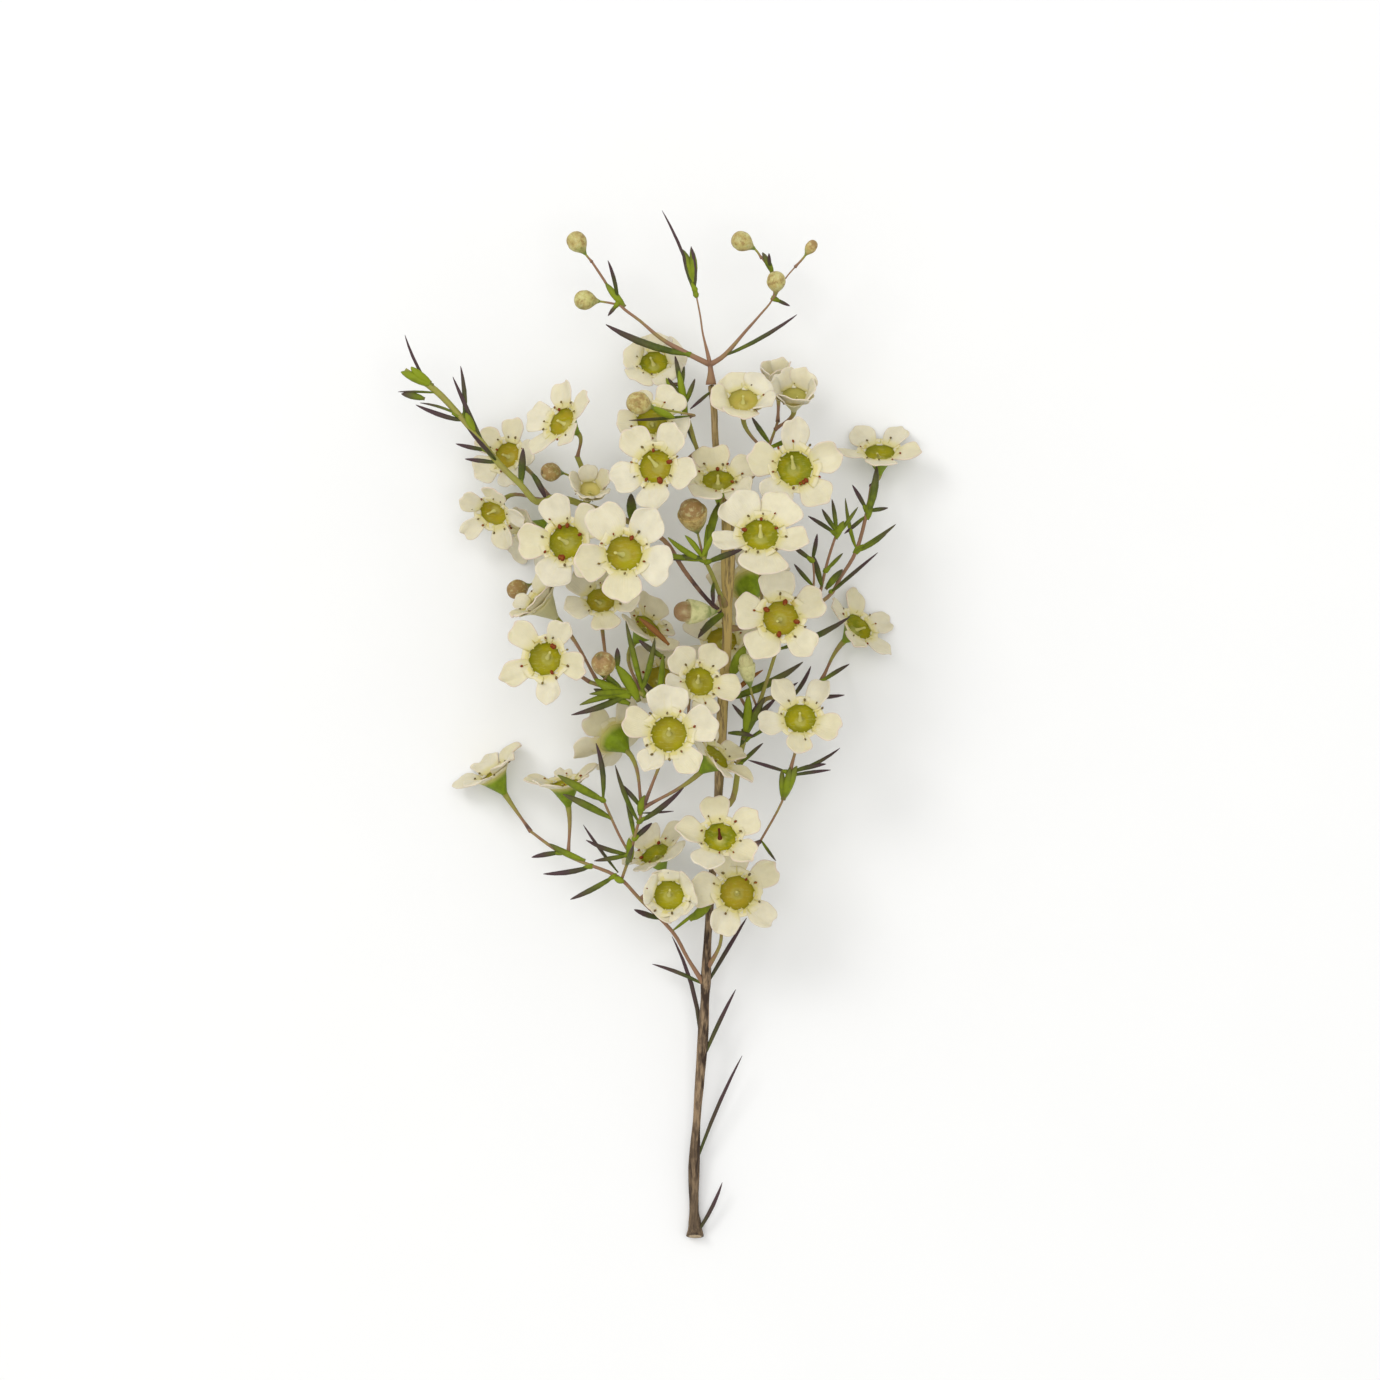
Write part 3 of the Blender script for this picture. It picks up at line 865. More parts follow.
def cup_finish():
    own = bpy.context.scene.waxflower_centres
    f = Finish("cup green")
    glands = f.cells(f.space(), 1500.0)
    mottle = f.noise(f.space(), 500.0)
    f.ground(f.between(mottle, 0.35, 0.7), own.cup, toned(own.cup, 1.45))
    f.paint(f.between(f.mark("along"), 0.82, 1.0, 0.0, 0.7), own.rim)
    f.paint(f.between(f.mark("across"), 0.4, 0.6, 0.0, 0.75), own.collar)
    f.paint(f.between(glands, 0.0, 0.28, 0.15, 0.0), own.style)
    f.sheen(mottle, 0.4, 0.58, Specular_IOR_Level=0.12)
    f.bump(f.between(glands, 0.05, 0.5), 0.25, 0.00008)
    return f.made


def bowl_finish():
    own = bpy.context.scene.waxflower_centres
    f = Finish("bowl olive")
    mottle = f.noise(f.space(), 330.0, 4.0)
    fine = f.noise(f.space(), 2400.0, 2.0)
    along, tone = f.mark("along"), f.mark("tone")
    streaks = f.noise(f.space((1.0, 3.0, 1.0)), 900.0, 3.0, 0.6)
    f.ground(f.between(mottle, 0.38, 0.66), own.bowl, own.shade)
    ripe = f.between(f.plus(mottle, f.times(tone, 0.3)), 0.5, 0.72)
    f.paint(f.times(tone, ripe), own.gold)
    f.paint(f.between(streaks, 0.5, 0.75, 0.0, 0.35), own.style)
    f.paint(f.between(along, 0.35, 0.8, 0.0, 0.45), own.shade)
    f.paint(f.between(along, 0.78, 1.0, 0.0, 0.7), own.rim)
    f.paint(f.between(along, 0.0, 0.25, 0.4, 0.0), own.style)
    f.paint(f.times(f.mark("across"), 0.75), own.rim)
    f.sheen(fine, 0.4, 0.6, Specular_IOR_Level=0.12)
    f.bump(f.plus(fine, mottle), 0.35, 0.00014)
    return f.made


def style_finish():
    own = bpy.context.scene.waxflower_centres
    f = Finish("style pale green")
    mottle = f.noise(f.space(), 1400.0)
    f.ground(f.between(mottle, 0.3, 0.7, 0.0, 0.5), own.style, own.rim)
    f.paint(f.between(f.mark("across"), 0.4, 0.6), toned(own.anther_red, 0.45))
    f.sheen(mottle, 0.45, 0.6, Specular_IOR_Level=0.15)
    f.bump(mottle, 0.2, 0.00005)
    return f.made


def rim_finish():
    own = bpy.context.scene.waxflower_centres
    f = Finish("rim cream")
    mottle = f.noise(f.space(), 700.0, 4.0)
    inner = f.mix(f.between(mottle, 0.4, 0.7, 0.0, 0.5), own.rim, own.style)
    blush = f.times(f.mark("tone"), f.between(f.noise(f.space(), 260.0), 0.52, 0.66, 0.0, 0.7))
    inner = f.mix(blush, inner, own.gold)
    reach = f.ragged(f.mark("along"), mottle, 0.12)
    f.ground(f.between(reach, 0.0, 0.5), inner, own.collar)
    f.sheen(mottle, 0.38, 0.58)
    f.shade(Subsurface_Weight=0.15, Subsurface_Radius=(1.0, 0.8, 0.4), Subsurface_Scale=0.0008)
    f.bump(mottle, 0.35, 0.00012)
    return f.made


def anther_finish():
    own = bpy.context.scene.waxflower_centres
    f = Finish("anther red-brown")
    grains = f.cells(f.space(), 5200.0)
    worn = f.noise(f.space(), 1800.0)
    f.ground(f.between(f.mark("tone"), 0.4, 0.7), own.anther_red, own.anther_olive)
    f.paint(f.between(worn, 0.5, 0.75, 0.0, 0.4), own.gold)
    f.shade(Base_Color=f.colour, Roughness=f.between(grains, 0.0, 0.6, 0.45, 0.7), Specular_IOR_Level=0.2)
    f.bump(grains, 0.4, 0.00006)
    return f.made


def needle_finish():
    own = bpy.context.scene.waxflower_greens
    f = Finish("needle green")
    along, tone = f.mark("along"), f.mark("tone")
    mottle = f.noise(f.space(), 450.0)
    glands = f.cells(f.space(), 2100.0)
    reach = f.ragged(along, mottle, 0.09)
    green = f.between(f.ragged(tone, mottle, 0.2), 0.0, 1.0)
    f.ground(green, own.leaf_dark, own.leaf_bright)
    f.paint(f.between(glands, 0.0, 0.3, 0.25, 0.0), own.leaf_bright)
    f.paint(f.between(reach, 0.0, 0.16, 0.6, 0.0), own.leaf_foot)
    purple = f.maths("SUBTRACT", f.between(reach, 0.1, 0.9, 0.35, 1.25), f.times(tone, 1.1))
    f.paint(f.between(purple, 0.1, 1.0), own.leaf_tip)
    f.paint(f.between(tone, -0.4, -0.05, 1.0, 0.0), own.leaf_dry)
    f.sheen(mottle, 0.4, 0.6, Specular_IOR_Level=0.14)
    f.bump(f.plus(glands, f.mark("across")), 0.3, 0.0001)
    return f.made


def twig_finish():
    own = bpy.context.scene.waxflower_greens
    f = Finish("twig bark")
    mottle = f.noise(f.space(), 260.0, 4.0)
    fine = f.noise(f.space(), 1500.0)
    blush = f.ragged(f.mark("tone"), mottle, 0.35)
    f.ground(f.between(blush, 0.1, 0.9), own.young_bark, own.blushed_bark)
    f.paint(f.between(fine, 0.5, 0.8, 0.0, 0.5), own.leaf_foot)
    f.paint(f.between(blush, 1.1, 1.7), own.leaf_tip)
    f.sheen(fine, 0.45, 0.68, Specular_IOR_Level=0.2)
    f.bump(f.plus(fine, mottle), 0.45, 0.00012)
    return f.made


def bark_finish():
    own = bpy.context.scene.waxflower_bark
    f = Finish("woody bark")
    lengthwise = f.space((1.0, 0.07, 1.0))
    streaks = f.noise(lengthwise, 1700.0, 4.0, 0.65)
    broad = f.noise(lengthwise, 800.0, 3.0)
    patches = f.noise(f.space((1.0, 0.5, 1.0)), 260.0, 4.0, 0.7)
    f.ground(f.between(streaks, 0.4, 0.58), own.ground, own.ridge)
    f.paint(f.between(broad, 0.46, 0.6, 0.0, 0.95), own.furrow)
    f.paint(f.between(patches, 0.48, 0.66, 0.0, 0.7), own.furrow)
    f.paint(f.between(patches, 0.3, 0.45, 0.5, 0.0), own.ridge)
    along = f.mark("along")
    young = f.times(f.between(along, 0.5, 0.62), f.between(along, 0.8, 0.92, 1.0, 0.35))
    f.paint(f.times(f.times(young, 0.9), f.between(streaks, 0.35, 0.55, 0.25, 1.0)), own.olive)
    damp = f.between(f.ragged(along, patches, 0.04), 0.06, 0.24, 0.5, 0.0)
    f.paint(damp, toned(own.ground, 0.42))
    f.shade(Base_Color=f.colour, Roughness=f.between(streaks, 0.3, 0.7, 0.6, 0.85), Specular_IOR_Level=0.2)
    f.bump(f.maths("SUBTRACT", streaks, broad), 0.7, own.relief * 2.0)
    return f.made


def cut_finish():
    own = bpy.context.scene.waxflower_bark
    f = Finish("cut wood")
    grain = f.noise(f.space(), 1800.0, 4.0)
    f.ground(f.between(grain, 0.35, 0.7), own.wood, own.ridge)
    f.sheen(grain, 0.65, 0.85)
    f.bump(grain, 0.5, 0.0001)
    return f.made


def bud_finish():
    own = bpy.context.scene.waxflower_buds
    f = Finish("bud tan")
    along, seams, tone = f.mark("along"), f.mark("across"), f.mark("tone")
    mottle = f.noise(f.space(), 520.0, 4.0)
    glands = f.cells(f.space(), 1900.0)
    ripe = f.between(f.ragged(tone, mottle, 0.3), 0.0, 1.0)
    f.ground(ripe, own.pale, own.tan)
    f.paint(f.between(tone, -0.5, 0.0, 1.0, 0.0), own.cream)
    f.paint(f.between(tone, 1.0, 1.6, 0.0, 0.85), own.brown)
    tip = f.ragged(along, mottle, 0.1)
    ripening = f.times(f.between(tone, 0.4, 1.0, 0.12, 0.7), f.between(tone, 1.1, 1.5, 1.0, 0.3))
    flushed = f.maths("MAXIMUM", ripening, f.between(tone, -0.6, -0.4, 0.9, 0.0))
    f.paint(f.times(f.between(tip, 0.5, 0.85), flushed), own.blush)
    f.paint(f.between(seams, 0.6, 1.0, 0.0, 0.55), own.blush)
    f.paint(f.between(glands, 0.0, 0.25, 0.45, 0.0), own.neck)
    f.paint(f.between(mottle, 0.5, 0.75, 0.0, 0.45), own.neck)
    freckles = f.noise(f.space(), 900.0, 3.0, 0.7)
    closed = f.between(tone, -0.5, 0.0, 0.12, 1.0)
    f.paint(f.times(closed, f.between(freckles, 0.36, 0.48, 0.5, 0.0)), own.cream)
    f.paint(f.times(closed, f.between(freckles, 0.5, 0.62, 0.0, 0.7)), own.brown)
    star = f.times(f.between(tip, 0.9, 1.0), f.between(tone, 1.0, 1.3))
    f.paint(star, toned(own.brown, 0.3))
    f.paint(f.between(tip, 0.12, 0.36, 1.0, 0.0), own.neck)
    f.sheen(mottle, 0.38, 0.58, Specular_IOR_Level=0.25)
    f.shade(Subsurface_Weight=0.1, Subsurface_Radius=(1.0, 0.7, 0.35), Subsurface_Scale=0.0008)
    f.bump(f.plus(glands, mottle), 0.4, 0.00012)
    return f.made


def floor_finish():
    own = bpy.context.scene.waxflower_stage
    f = Finish("pale floor")
    grain = f.noise(f.space(), 40.0, 4.0)
    f.ground(grain, own.floor, toned(own.floor, 0.985))
    f.sheen(grain, 0.75, 0.85)
    return f.made


def marked():
    """An empty bmesh whose corners carry how far along, how far across and which tone."""
    bm = bmesh.new()
    for name in ("along", "across", "tone"):
        bm.verts.layers.float.new(name)
    return bm


def mark(bm, corners, **values):
    for name, value in values.items():
        layer = bm.verts.layers.float[name]
        for v in corners:
            v[layer] = value


def joined(name, shapes, finishes):
    """One smooth mesh object in metres out of the shapes, which may overlap."""
    whole = bmesh.new()
    part = bpy.data.meshes.new(name + "_part")
    for shape in shapes:
        shape.to_mesh(part)
        shape.free()
        whole.from_mesh(part)
    bpy.data.meshes.remove(part)
    bmesh.ops.recalc_face_normals(whole, faces=whole.faces[:])
    bmesh.ops.transform(whole, matrix=Matrix.Scale(MM, 4), verts=whole.verts[:])
    for face in whole.faces:
        face.smooth = True
    mesh = bpy.data.meshes.new(name)
    whole.to_mesh(mesh)
    whole.free()
    for finish in finishes:
        mesh.materials.append(finish)
    obj = bpy.data.objects.new(name, mesh)
    bpy.context.scene.collection.objects.link(obj)
    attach(obj, BODY)
    return obj


def grow(bm, faces):
    """Extrudes faces in place and returns the new faces and their corners, to be moved on."""
    edges = list(dict.fromkeys(edge for face in faces for edge in face.edges))
    grown = bmesh.ops.extrude_face_region(bm, geom=faces + edges)["geom"]
    corners = [item for item in grown if isinstance(item, bmesh.types.BMVert)]
    return [item for item in grown if isinstance(item, bmesh.types.BMFace)], corners


def directions(points):
    """The way that a path runs at each of its points."""
    last = len(points) - 1
    return [(points[min(i + 1, last)] - points[max(i - 1, 0)]).normalized() for i in range(last + 1)]


def sweep(points, radii, sides, tones=(0.0, 0.0), squash=1.0):
    """A tapered stem: a disc extruded from point to point and turned to follow the path."""
    bm = marked()
    along = directions(points)
    turn = along[0].to_track_quat("Z", "Y").to_matrix().to_4x4()
    start = Matrix.Translation(points[0]) @ turn @ Matrix.Diagonal((1.0, squash, 1.0, 1.0))
    made = bmesh.ops.create_circle(bm, cap_ends=True, segments=sides, radius=radii[0], matrix=start)
    end = [made["verts"][0].link_faces[0]]
    for k, v in enumerate(made["verts"]):
        mark(bm, [v], across=float(k % 2), tone=tones[0])
    last = len(points) - 1
    for i in range(1, last + 1):
        end, corners = grow(bm, end)
        swing = along[i - 1].rotation_difference(along[i]).to_matrix().to_4x4()
        onward = Matrix.Translation(points[i]) @ swing @ Matrix.Scale(radii[i] / radii[i - 1], 4)
        bmesh.ops.transform(bm, matrix=onward @ Matrix.Translation(-points[i - 1]), verts=corners)
        mark(bm, corners, along=i / last, tone=tones[0] + (tones[1] - tones[0]) * i / last)
    return bm


def smooth(path, steps):
    """The path rounded by a curve through its points."""
    points, radii, last = [], [], len(path.points) - 1
    for i in range(last):
        before, start = path.points[max(i - 1, 0)], path.points[i]
        end, after = path.points[i + 1], path.points[min(i + 2, last)]
        for k in range(steps):
            t = k / steps
            bend = (2 * before - 5 * start + 4 * end - after) * t * t
            rest = (3 * start - before - 3 * end + after) * t ** 3
            points.append((2 * start + (end - before) * t + bend + rest) / 2)
            ease = t * t * (3 - 2 * t)
            radii.append(path.radii[i] + (path.radii[i + 1] - path.radii[i]) * ease)
    return Path(points + [path.points[-1]], radii + [path.radii[-1]])


def spun(rows, sides, closed=False):
    """A profile turned round Z, with its place in the profile marked on its corners."""
    bm = marked()
    corners = []
    for i, (radius, height) in enumerate(rows):
        v = bm.verts.new((radius, 0.0, height))
        mark(bm, [v], along=float(i))
        corners.append(v)
    edges = [bm.edges.new(pair) for pair in zip(corners, corners[1:])]
    if closed:
        edges.append(bm.edges.new((corners[-1], corners[0])))
    bmesh.ops.spin(bm, geom=corners + edges, cent=(0, 0, 0), axis=(0, 0, 1), angle=math.tau, steps=sides,
                   use_merge=True)
    bmesh.ops.remove_doubles(bm, verts=bm.verts[:], dist=1e-4)
    return bm


def path_of(rows):
    """A stem's centre line and radii, raised where it would sink into the surface."""
    depth = math.cos(math.pi / STEM_SIDES)
    return Path([Vector((x, y, max(z, r * depth))) for x, y, z, r in rows], [row[3] for row in rows])


def nearest(paths, x, y):
    """The point of the paths nearest to a place seen from above, with the radius there."""
    best = None
    for path in paths:
        for i in range(len(path.points) - 1):
            start, end = path.points[i], path.points[i + 1]
            span = (end - start).to_2d()
            part = (Vector((x, y)) - start.to_2d()).dot(span) / max(span.length_squared, 1e-9)
            part = min(max(part, 0.0), 1.0)
            place = start.lerp(end, part)
            off = (place.to_2d() - Vector((x, y))).length
            if best is None or off < best[0]:
                best = (off, place, path.radii[i] + (path.radii[i + 1] - path.radii[i]) * part)
    return best[1], best[2]


def facing(tilt, toward):
    """The way that a bloom or bud faces: leaned by tilt from straight up, toward a heading from +X."""
    lean, heading = math.radians(tilt), math.radians(toward)
    return Vector((math.sin(lean) * math.cos(heading), math.sin(lean) * math.sin(heading), math.cos(lean)))


def placed(row):
    """The matrix from a bloom's or bud's own frame, facing +Z, to its place."""
    turn = Vector((0, 0, 1)).rotation_difference(facing(row.tilt, row.toward))
    return Matrix.Translation((row.x, row.y, row.z)) @ turn.to_matrix().to_4x4()


def bezier(start, lead, arrive, end, steps):
    """Points on a cubic curve with two inner control points."""
    points = []
    for i in range(steps + 1):
        t = i / steps
        a, b, c, d = (1 - t) ** 3, 3 * t * (1 - t) ** 2, 3 * t * t * (1 - t), t ** 3
        points.append(a * start + b * lead + c * arrive + d * end)
    return points


def stalk(name, foot, end, heading, radius):
    """A pedicel, pink-brown at its foot and green where it meets the bloom or bud."""
    reach = (end - foot).length
    lead, arrive = foot + (end - foot) * PEDICEL_LEAVES, end - heading * reach * PEDICEL_ARRIVES
    points = bezier(foot, lead, arrive, end, PEDICEL_STEPS)
    if name in CLIMBS:
        top = Vector(CLIMBS[name])
        bends = [foot, foot.lerp(top, CLIMB_BEND), top, top.lerp(end, 0.5) - heading, end]
        points = smooth(Path(bends, [radius] * len(bends)), CLIMB_STEPS).points
    for point in points:
        point.z = max(point.z, radius)
    last = len(points) - 1
    radii = [radius * (PEDICEL_FOOT - PEDICEL_TAPER * min(1.0, 3 * i / last)) for i in range(last + 1)]
    if name.startswith("bloom"):
        radii = [r * (1 + FLARE * (i / last) ** 3) for i, r in enumerate(radii)]
    return sweep(points, radii, PEDICEL_SIDES, PEDICEL_TONES)


def sheath(foot, tip):
    """The short green swelling round a needle's foot."""
    way = (tip - foot).normalized()
    points = [foot + way * reach for reach, _ in SHEATH]
    bm = sweep(points, [radius for _, radius in SHEATH], NEEDLE_SIDES, SHEATH_TONES)
    mark(bm, bm.verts, along=SHEATH_ALONG)
    return bm


def needle(foot, tip, bow, width, tone):
    """A needle leaf, a little bent, widest in its middle and drawn out to a point."""
    points = [foot.lerp(tip, part) + bow * 4 * part * (1 - part) for part, _ in NEEDLE_PROFILE]
    radii = [width * wide for _, wide in NEEDLE_PROFILE]
    return sweep(points, radii, NEEDLE_SIDES, (tone, tone), NEEDLE_FLATNESS)


def clear_of_blooms(points):
    """Whether a needle stays out of every bloom and bud."""
    for row in BLOOMS:
        back = placed(row).inverted()
        for point in points:
            own = back @ point
            if math.hypot(own.x, own.y) < BLOOM_ROOM * row.size and -ROOM_BEHIND < own.z < ROOM_IN_FRONT:
                return False
    for row in BUDS:
        middle = Vector((row.x, row.y, row.z))
        if min((point - middle).length for point in points) < row.length / 2 + BUD_ROOM:
            return False
    return True


def clear_of_stems(points, own, paths):
    """Whether a needle stays out of the stems of every other twig."""
    for name, shoots in paths.items():
        if name == own:
            continue
        for path in shoots:
            for i in range(len(path.points) - 1):
                for part in STEM_PROBES:
                    place = path.points[i].lerp(path.points[i + 1], part)
                    if min((point - place).length for point in points) < path.radii[i] + STEM_ROOM:
                        return False
    return True


def crossed_pairs(twig, path, start, end, paths, draw):
    """Opposite needles along a leafy stretch, each pair a quarter turn from the last, where there is room."""
    made = []
    gone, along = 0.0, directions(path.points)
    turn = 0
    for i in range(len(path.points) - 1):
        length = (path.points[i + 1] - path.points[i]).length
        while start <= gone + length and start <= end:
            foot = path.points[i].lerp(path.points[i + 1], (start - gone) / length)
            across = along[i].cross(Vector((0, 0, 1))).normalized()
            sideways = across if turn % 2 else along[i].cross(across)
            for sign in (1, -1):
                lean = math.radians(draw.uniform(*PAIR_LEANS))
                reach = PAIR_LENGTH * draw.uniform(*PAIR_LENGTHS)
                way = along[i] * math.cos(lean) + sideways * sign * math.sin(lean)
                tip = foot + way * reach
                bow = along[i] * reach * -NEEDLE_BOW
                line = [foot.lerp(tip, part) + bow * 4 * part * (1 - part) for part in PAIR_PROBES]
                above = min(point.z for point in line) > FLOOR_ROOM
                if above and clear_of_blooms(line) and clear_of_stems(line, twig, paths):
                    made.append((foot, tip, bow))
            start += NODE_SPACING
            turn += 1
        gone += length
    return made


def needle_lines(twig, paths):
    """Foot, tip and bow of every needle of a twig, as its solid has them."""
    draw = random.Random(f"{SEED} {twig}")
    lines = []
    for foot_x, foot_y, tip_x, tip_y, rise in NEEDLES[twig]:
        foot = nearest(paths[twig], foot_x, foot_y)[0]
        tip = Vector((tip_x, tip_y, foot.z + rise))
        bow = (tip - foot).cross(Vector((0, 0, 1))) * draw.uniform(-NEEDLE_BOW, NEEDLE_BOW)
        lines.append((foot, tip, bow * (SHORT_NEEDLE_BOW if (tip - foot).length < SHORT_NEEDLE else 1.0)))
    for name, shoot, start, end in LEAFY:
        if name == twig:
            lines += crossed_pairs(twig, paths[twig][shoot], start, end, paths, draw)
    return lines


def rooted(trunk, stem):
    """A twig's trunk as its solid has it, its first point moved out of the woody stem."""
    root = trunk.points[0]
    toward = (trunk.points[1] - root).normalized()
    along = directions(stem.points)
    i = min(range(len(stem.points)), key=lambda k: (stem.points[k] - root).length)
    out = (toward - along[i] * toward.dot(along[i])).normalized()
    centre, radius = nearest([stem], root.x, root.y)
    if i == len(stem.points) - 1:
        return trunk
    collar = centre + out * (radius + SEAT_GAP)
    shoulder = collar + out * SHOULDER_OUT + toward * SHOULDER_ON
    return Path([collar, shoulder] + trunk.points[1:], [trunk.radii[0]] + trunk.radii)


def all_paths():
    """The centre lines of the woody stem and of every twig's shoots, as the solids have them."""
    stem = path_of(MAIN_STEM)
    paths = {"main_stem": [stem]}
    for name, shoots in TWIGS.items():
        paths[name] = [path_of(rows) for rows in shoots]
        paths[name][0] = rooted(paths[name][0], stem)
    return paths


def check_node(name):
    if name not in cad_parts:
        raise RuntimeError(f"the packed model has no node {name}")


def petal_width(along):
    """Share of a petal's half width at a place along it: a claw that opens into a round blade."""
    if along < WIDEST:
        return CLAW + (1 - CLAW) * math.sin(math.pi / 2 * along / WIDEST)
    return math.sqrt(1 - ((along - WIDEST) / (1 - WIDEST) * TIP_NARROWS) ** TIP_FULLNESS)


def petal_place(row, look, along, across):
    """A place on the middle of a petal whose heading is +X, in the bloom's own frame."""
    length = PETAL_LENGTH * row.size * row.reach * look["stretch"] + PETAL_ROOT
    phase, kept = look["phase"], min(1.0, SLENDER + (1 - SLENDER) * row.reach)
    half_width = PETAL_HALF_WIDTH * row.size * kept * look["breadth"]
    out = RING_OUTER * row.size * math.cos(math.pi / (2 * PETALS)) - PETAL_ROOT
    up = RING_HEIGHT * row.size / 2
    run = along * (1 - TIP_ROUND * across * across * along * along)
    notch = TIP_NOTCH * look["notch"] * (1 - abs(across)) ** 2
    run *= 1 + along * (TIP_WAVE * math.sin(phase * TIP_PHASE + TIP_TURNS * across) - notch)
    for k in range(CURVE_STEPS):
        rise = math.radians(row.rise * (1 + PETAL_CURL * run * (k + 0.5) / CURVE_STEPS))
        out += run / CURVE_STEPS * length * math.cos(rise)
        up += run / CURVE_STEPS * length * math.sin(rise)
    side = SIDE_PHASE if across > 0 else 0.0
    uneven = EDGE_SWAY * math.sin(phase * SWAY_PHASE + side + SWAY_TURNS * along)
    uneven += EDGE_RIPPLE * math.sin(phase + RIPPLE_TURNS * along)
    wide = half_width * petal_width(along) * (1 + along * uneven)
    room = ROOM_APART if look["breadth"] < BROAD else ROOM_OVERLAPPED
    wide = min(wide, out * math.tan(math.pi / PETALS) * room)
    rise = math.radians(row.rise * (1 + PETAL_CURL * run))
    open_blade = min(1.0, along / BLADE_OPENS)
    lift = wide * open_blade * (look["cupping"] * across * across + look["fold"] * abs(across))
    wave = math.sin(phase + RUFFLE_ACROSS * across + RUFFLE_ALONG * along)
    wave += CRIMP_DEPTH * math.sin(phase * CRIMP_PHASE - CRIMP_ACROSS * across)
    lift += look["ruffle"] * wave * along * along
    lift += length * look["tip"] * along ** 3
    roll = look["roll"] * open_blade
    sideways = wide * across * math.cos(roll) - lift * math.sin(roll)
    lift = wide * across * math.sin(roll) + lift * math.cos(roll)
    return Vector((out - lift * math.sin(rise), sideways, up + lift * math.cos(rise)))


def sheet(point, columns, rows, tone):
    """A grid laid out by a function of how far along and how far across it is."""
    bm = marked()
    bmesh.ops.create_grid(bm, x_segments=columns, y_segments=rows, size=1.0)
    for v in bm.verts:
        along, across = (v.co.y + 1) / 2, v.co.x
        mark(bm, [v], along=along, across=abs(across), tone=tone)
        v.co = point(along, across)
    return bm


def rounded(obj):
    """Rounds a finished piece with one level of subdivision."""
    rounding = obj.modifiers.new("Rounding", "SUBSURF")
    rounding.levels = 1
    rounding.render_levels = 1


def corolla(row, own):
    """Five petals with a small sepal between each two."""
    draw = random.Random(f"{SEED} petals {row.name}")
    shapes = []
    place = placed(row)
    for k in range(PETALS):
        breadth, stretch = PETAL_FORMS.get(row.name, (USUAL_PETAL,) * PETALS)[k]
        look = {key: draw.uniform(low, high) for key, (low, high) in PETAL_VARIETY.items()}
        look["stretch"] *= stretch / HUNDRED
        look["breadth"] *= breadth / HUNDRED
        look["cupping"] *= own.cupping
        look["ruffle"] *= own.ruffle / MM
        look["ruffle"] *= row.size
        look["tip"] -= OUTWARD if row.rise > CUPPED else 0.0
        shape = sheet(lambda u, v: petal_place(row, look, u, v), PETAL_CELLS, PETAL_CELLS, draw.random())
        heading = math.radians(row.spin + FIFTH * k + draw.uniform(-PETAL_TURN, PETAL_TURN))
        shape.transform(place @ Matrix.Rotation(heading, 4, "Z"))
        shapes.append(shape)
        between = Matrix.Rotation(math.radians(row.spin + FIFTH * k + FIFTH / 2), 4, "Z")
        wide = draw.uniform(*SEPAL_WIDTHS) * row.size
        far = draw.uniform(*SEPAL_REACHES) * row.size
        start = (RING_OUTER - SEPAL_ROOT) * row.size

        def sepal(u, v):
            out = start + far * u * (1 - SEPAL_BOW * v * v)
            side = wide * v * math.sqrt(1 - SEPAL_NARROWS * u * u)
            return Vector((out, side, SEPAL_FOOT + SEPAL_RISE * u))

        shape = sheet(sepal, SEPAL_CELLS, SEPAL_CELLS, draw.random())
        mark(shape, shape.verts, along=SEPAL_TINT)
        shape.transform(place @ between)
        shapes.append(shape)
    low = own.thickness / MM * OFF_FLOOR
    high = CAD_BOX[1][2] / MM - low
    for shape in shapes:
        for v in shape.verts:
            v.co.z = min(max(v.co.z, low), high)
    return shapes


class WAXFLOWER_OT_petals(bpy.types.Operator):
    """Makes the five petals of each bloom"""

    bl_idname = "waxflower.petals"
    bl_label = "Petals"

    def execute(self, context):
        own = context.scene.waxflower_petals
        finish = petal_finish()
        for row in BLOOMS:
            node = f"bloom_{row.name}"
            check_node(node)
            obj = joined(f"petals_{row.name}", corolla(row, own), [finish])
            wall = obj.modifiers.new("Thickness", "SOLIDIFY")
            wall.thickness = own.thickness
            wall.offset = 0.0
            rounded(obj)
            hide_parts(node)
        return {"FINISHED"}


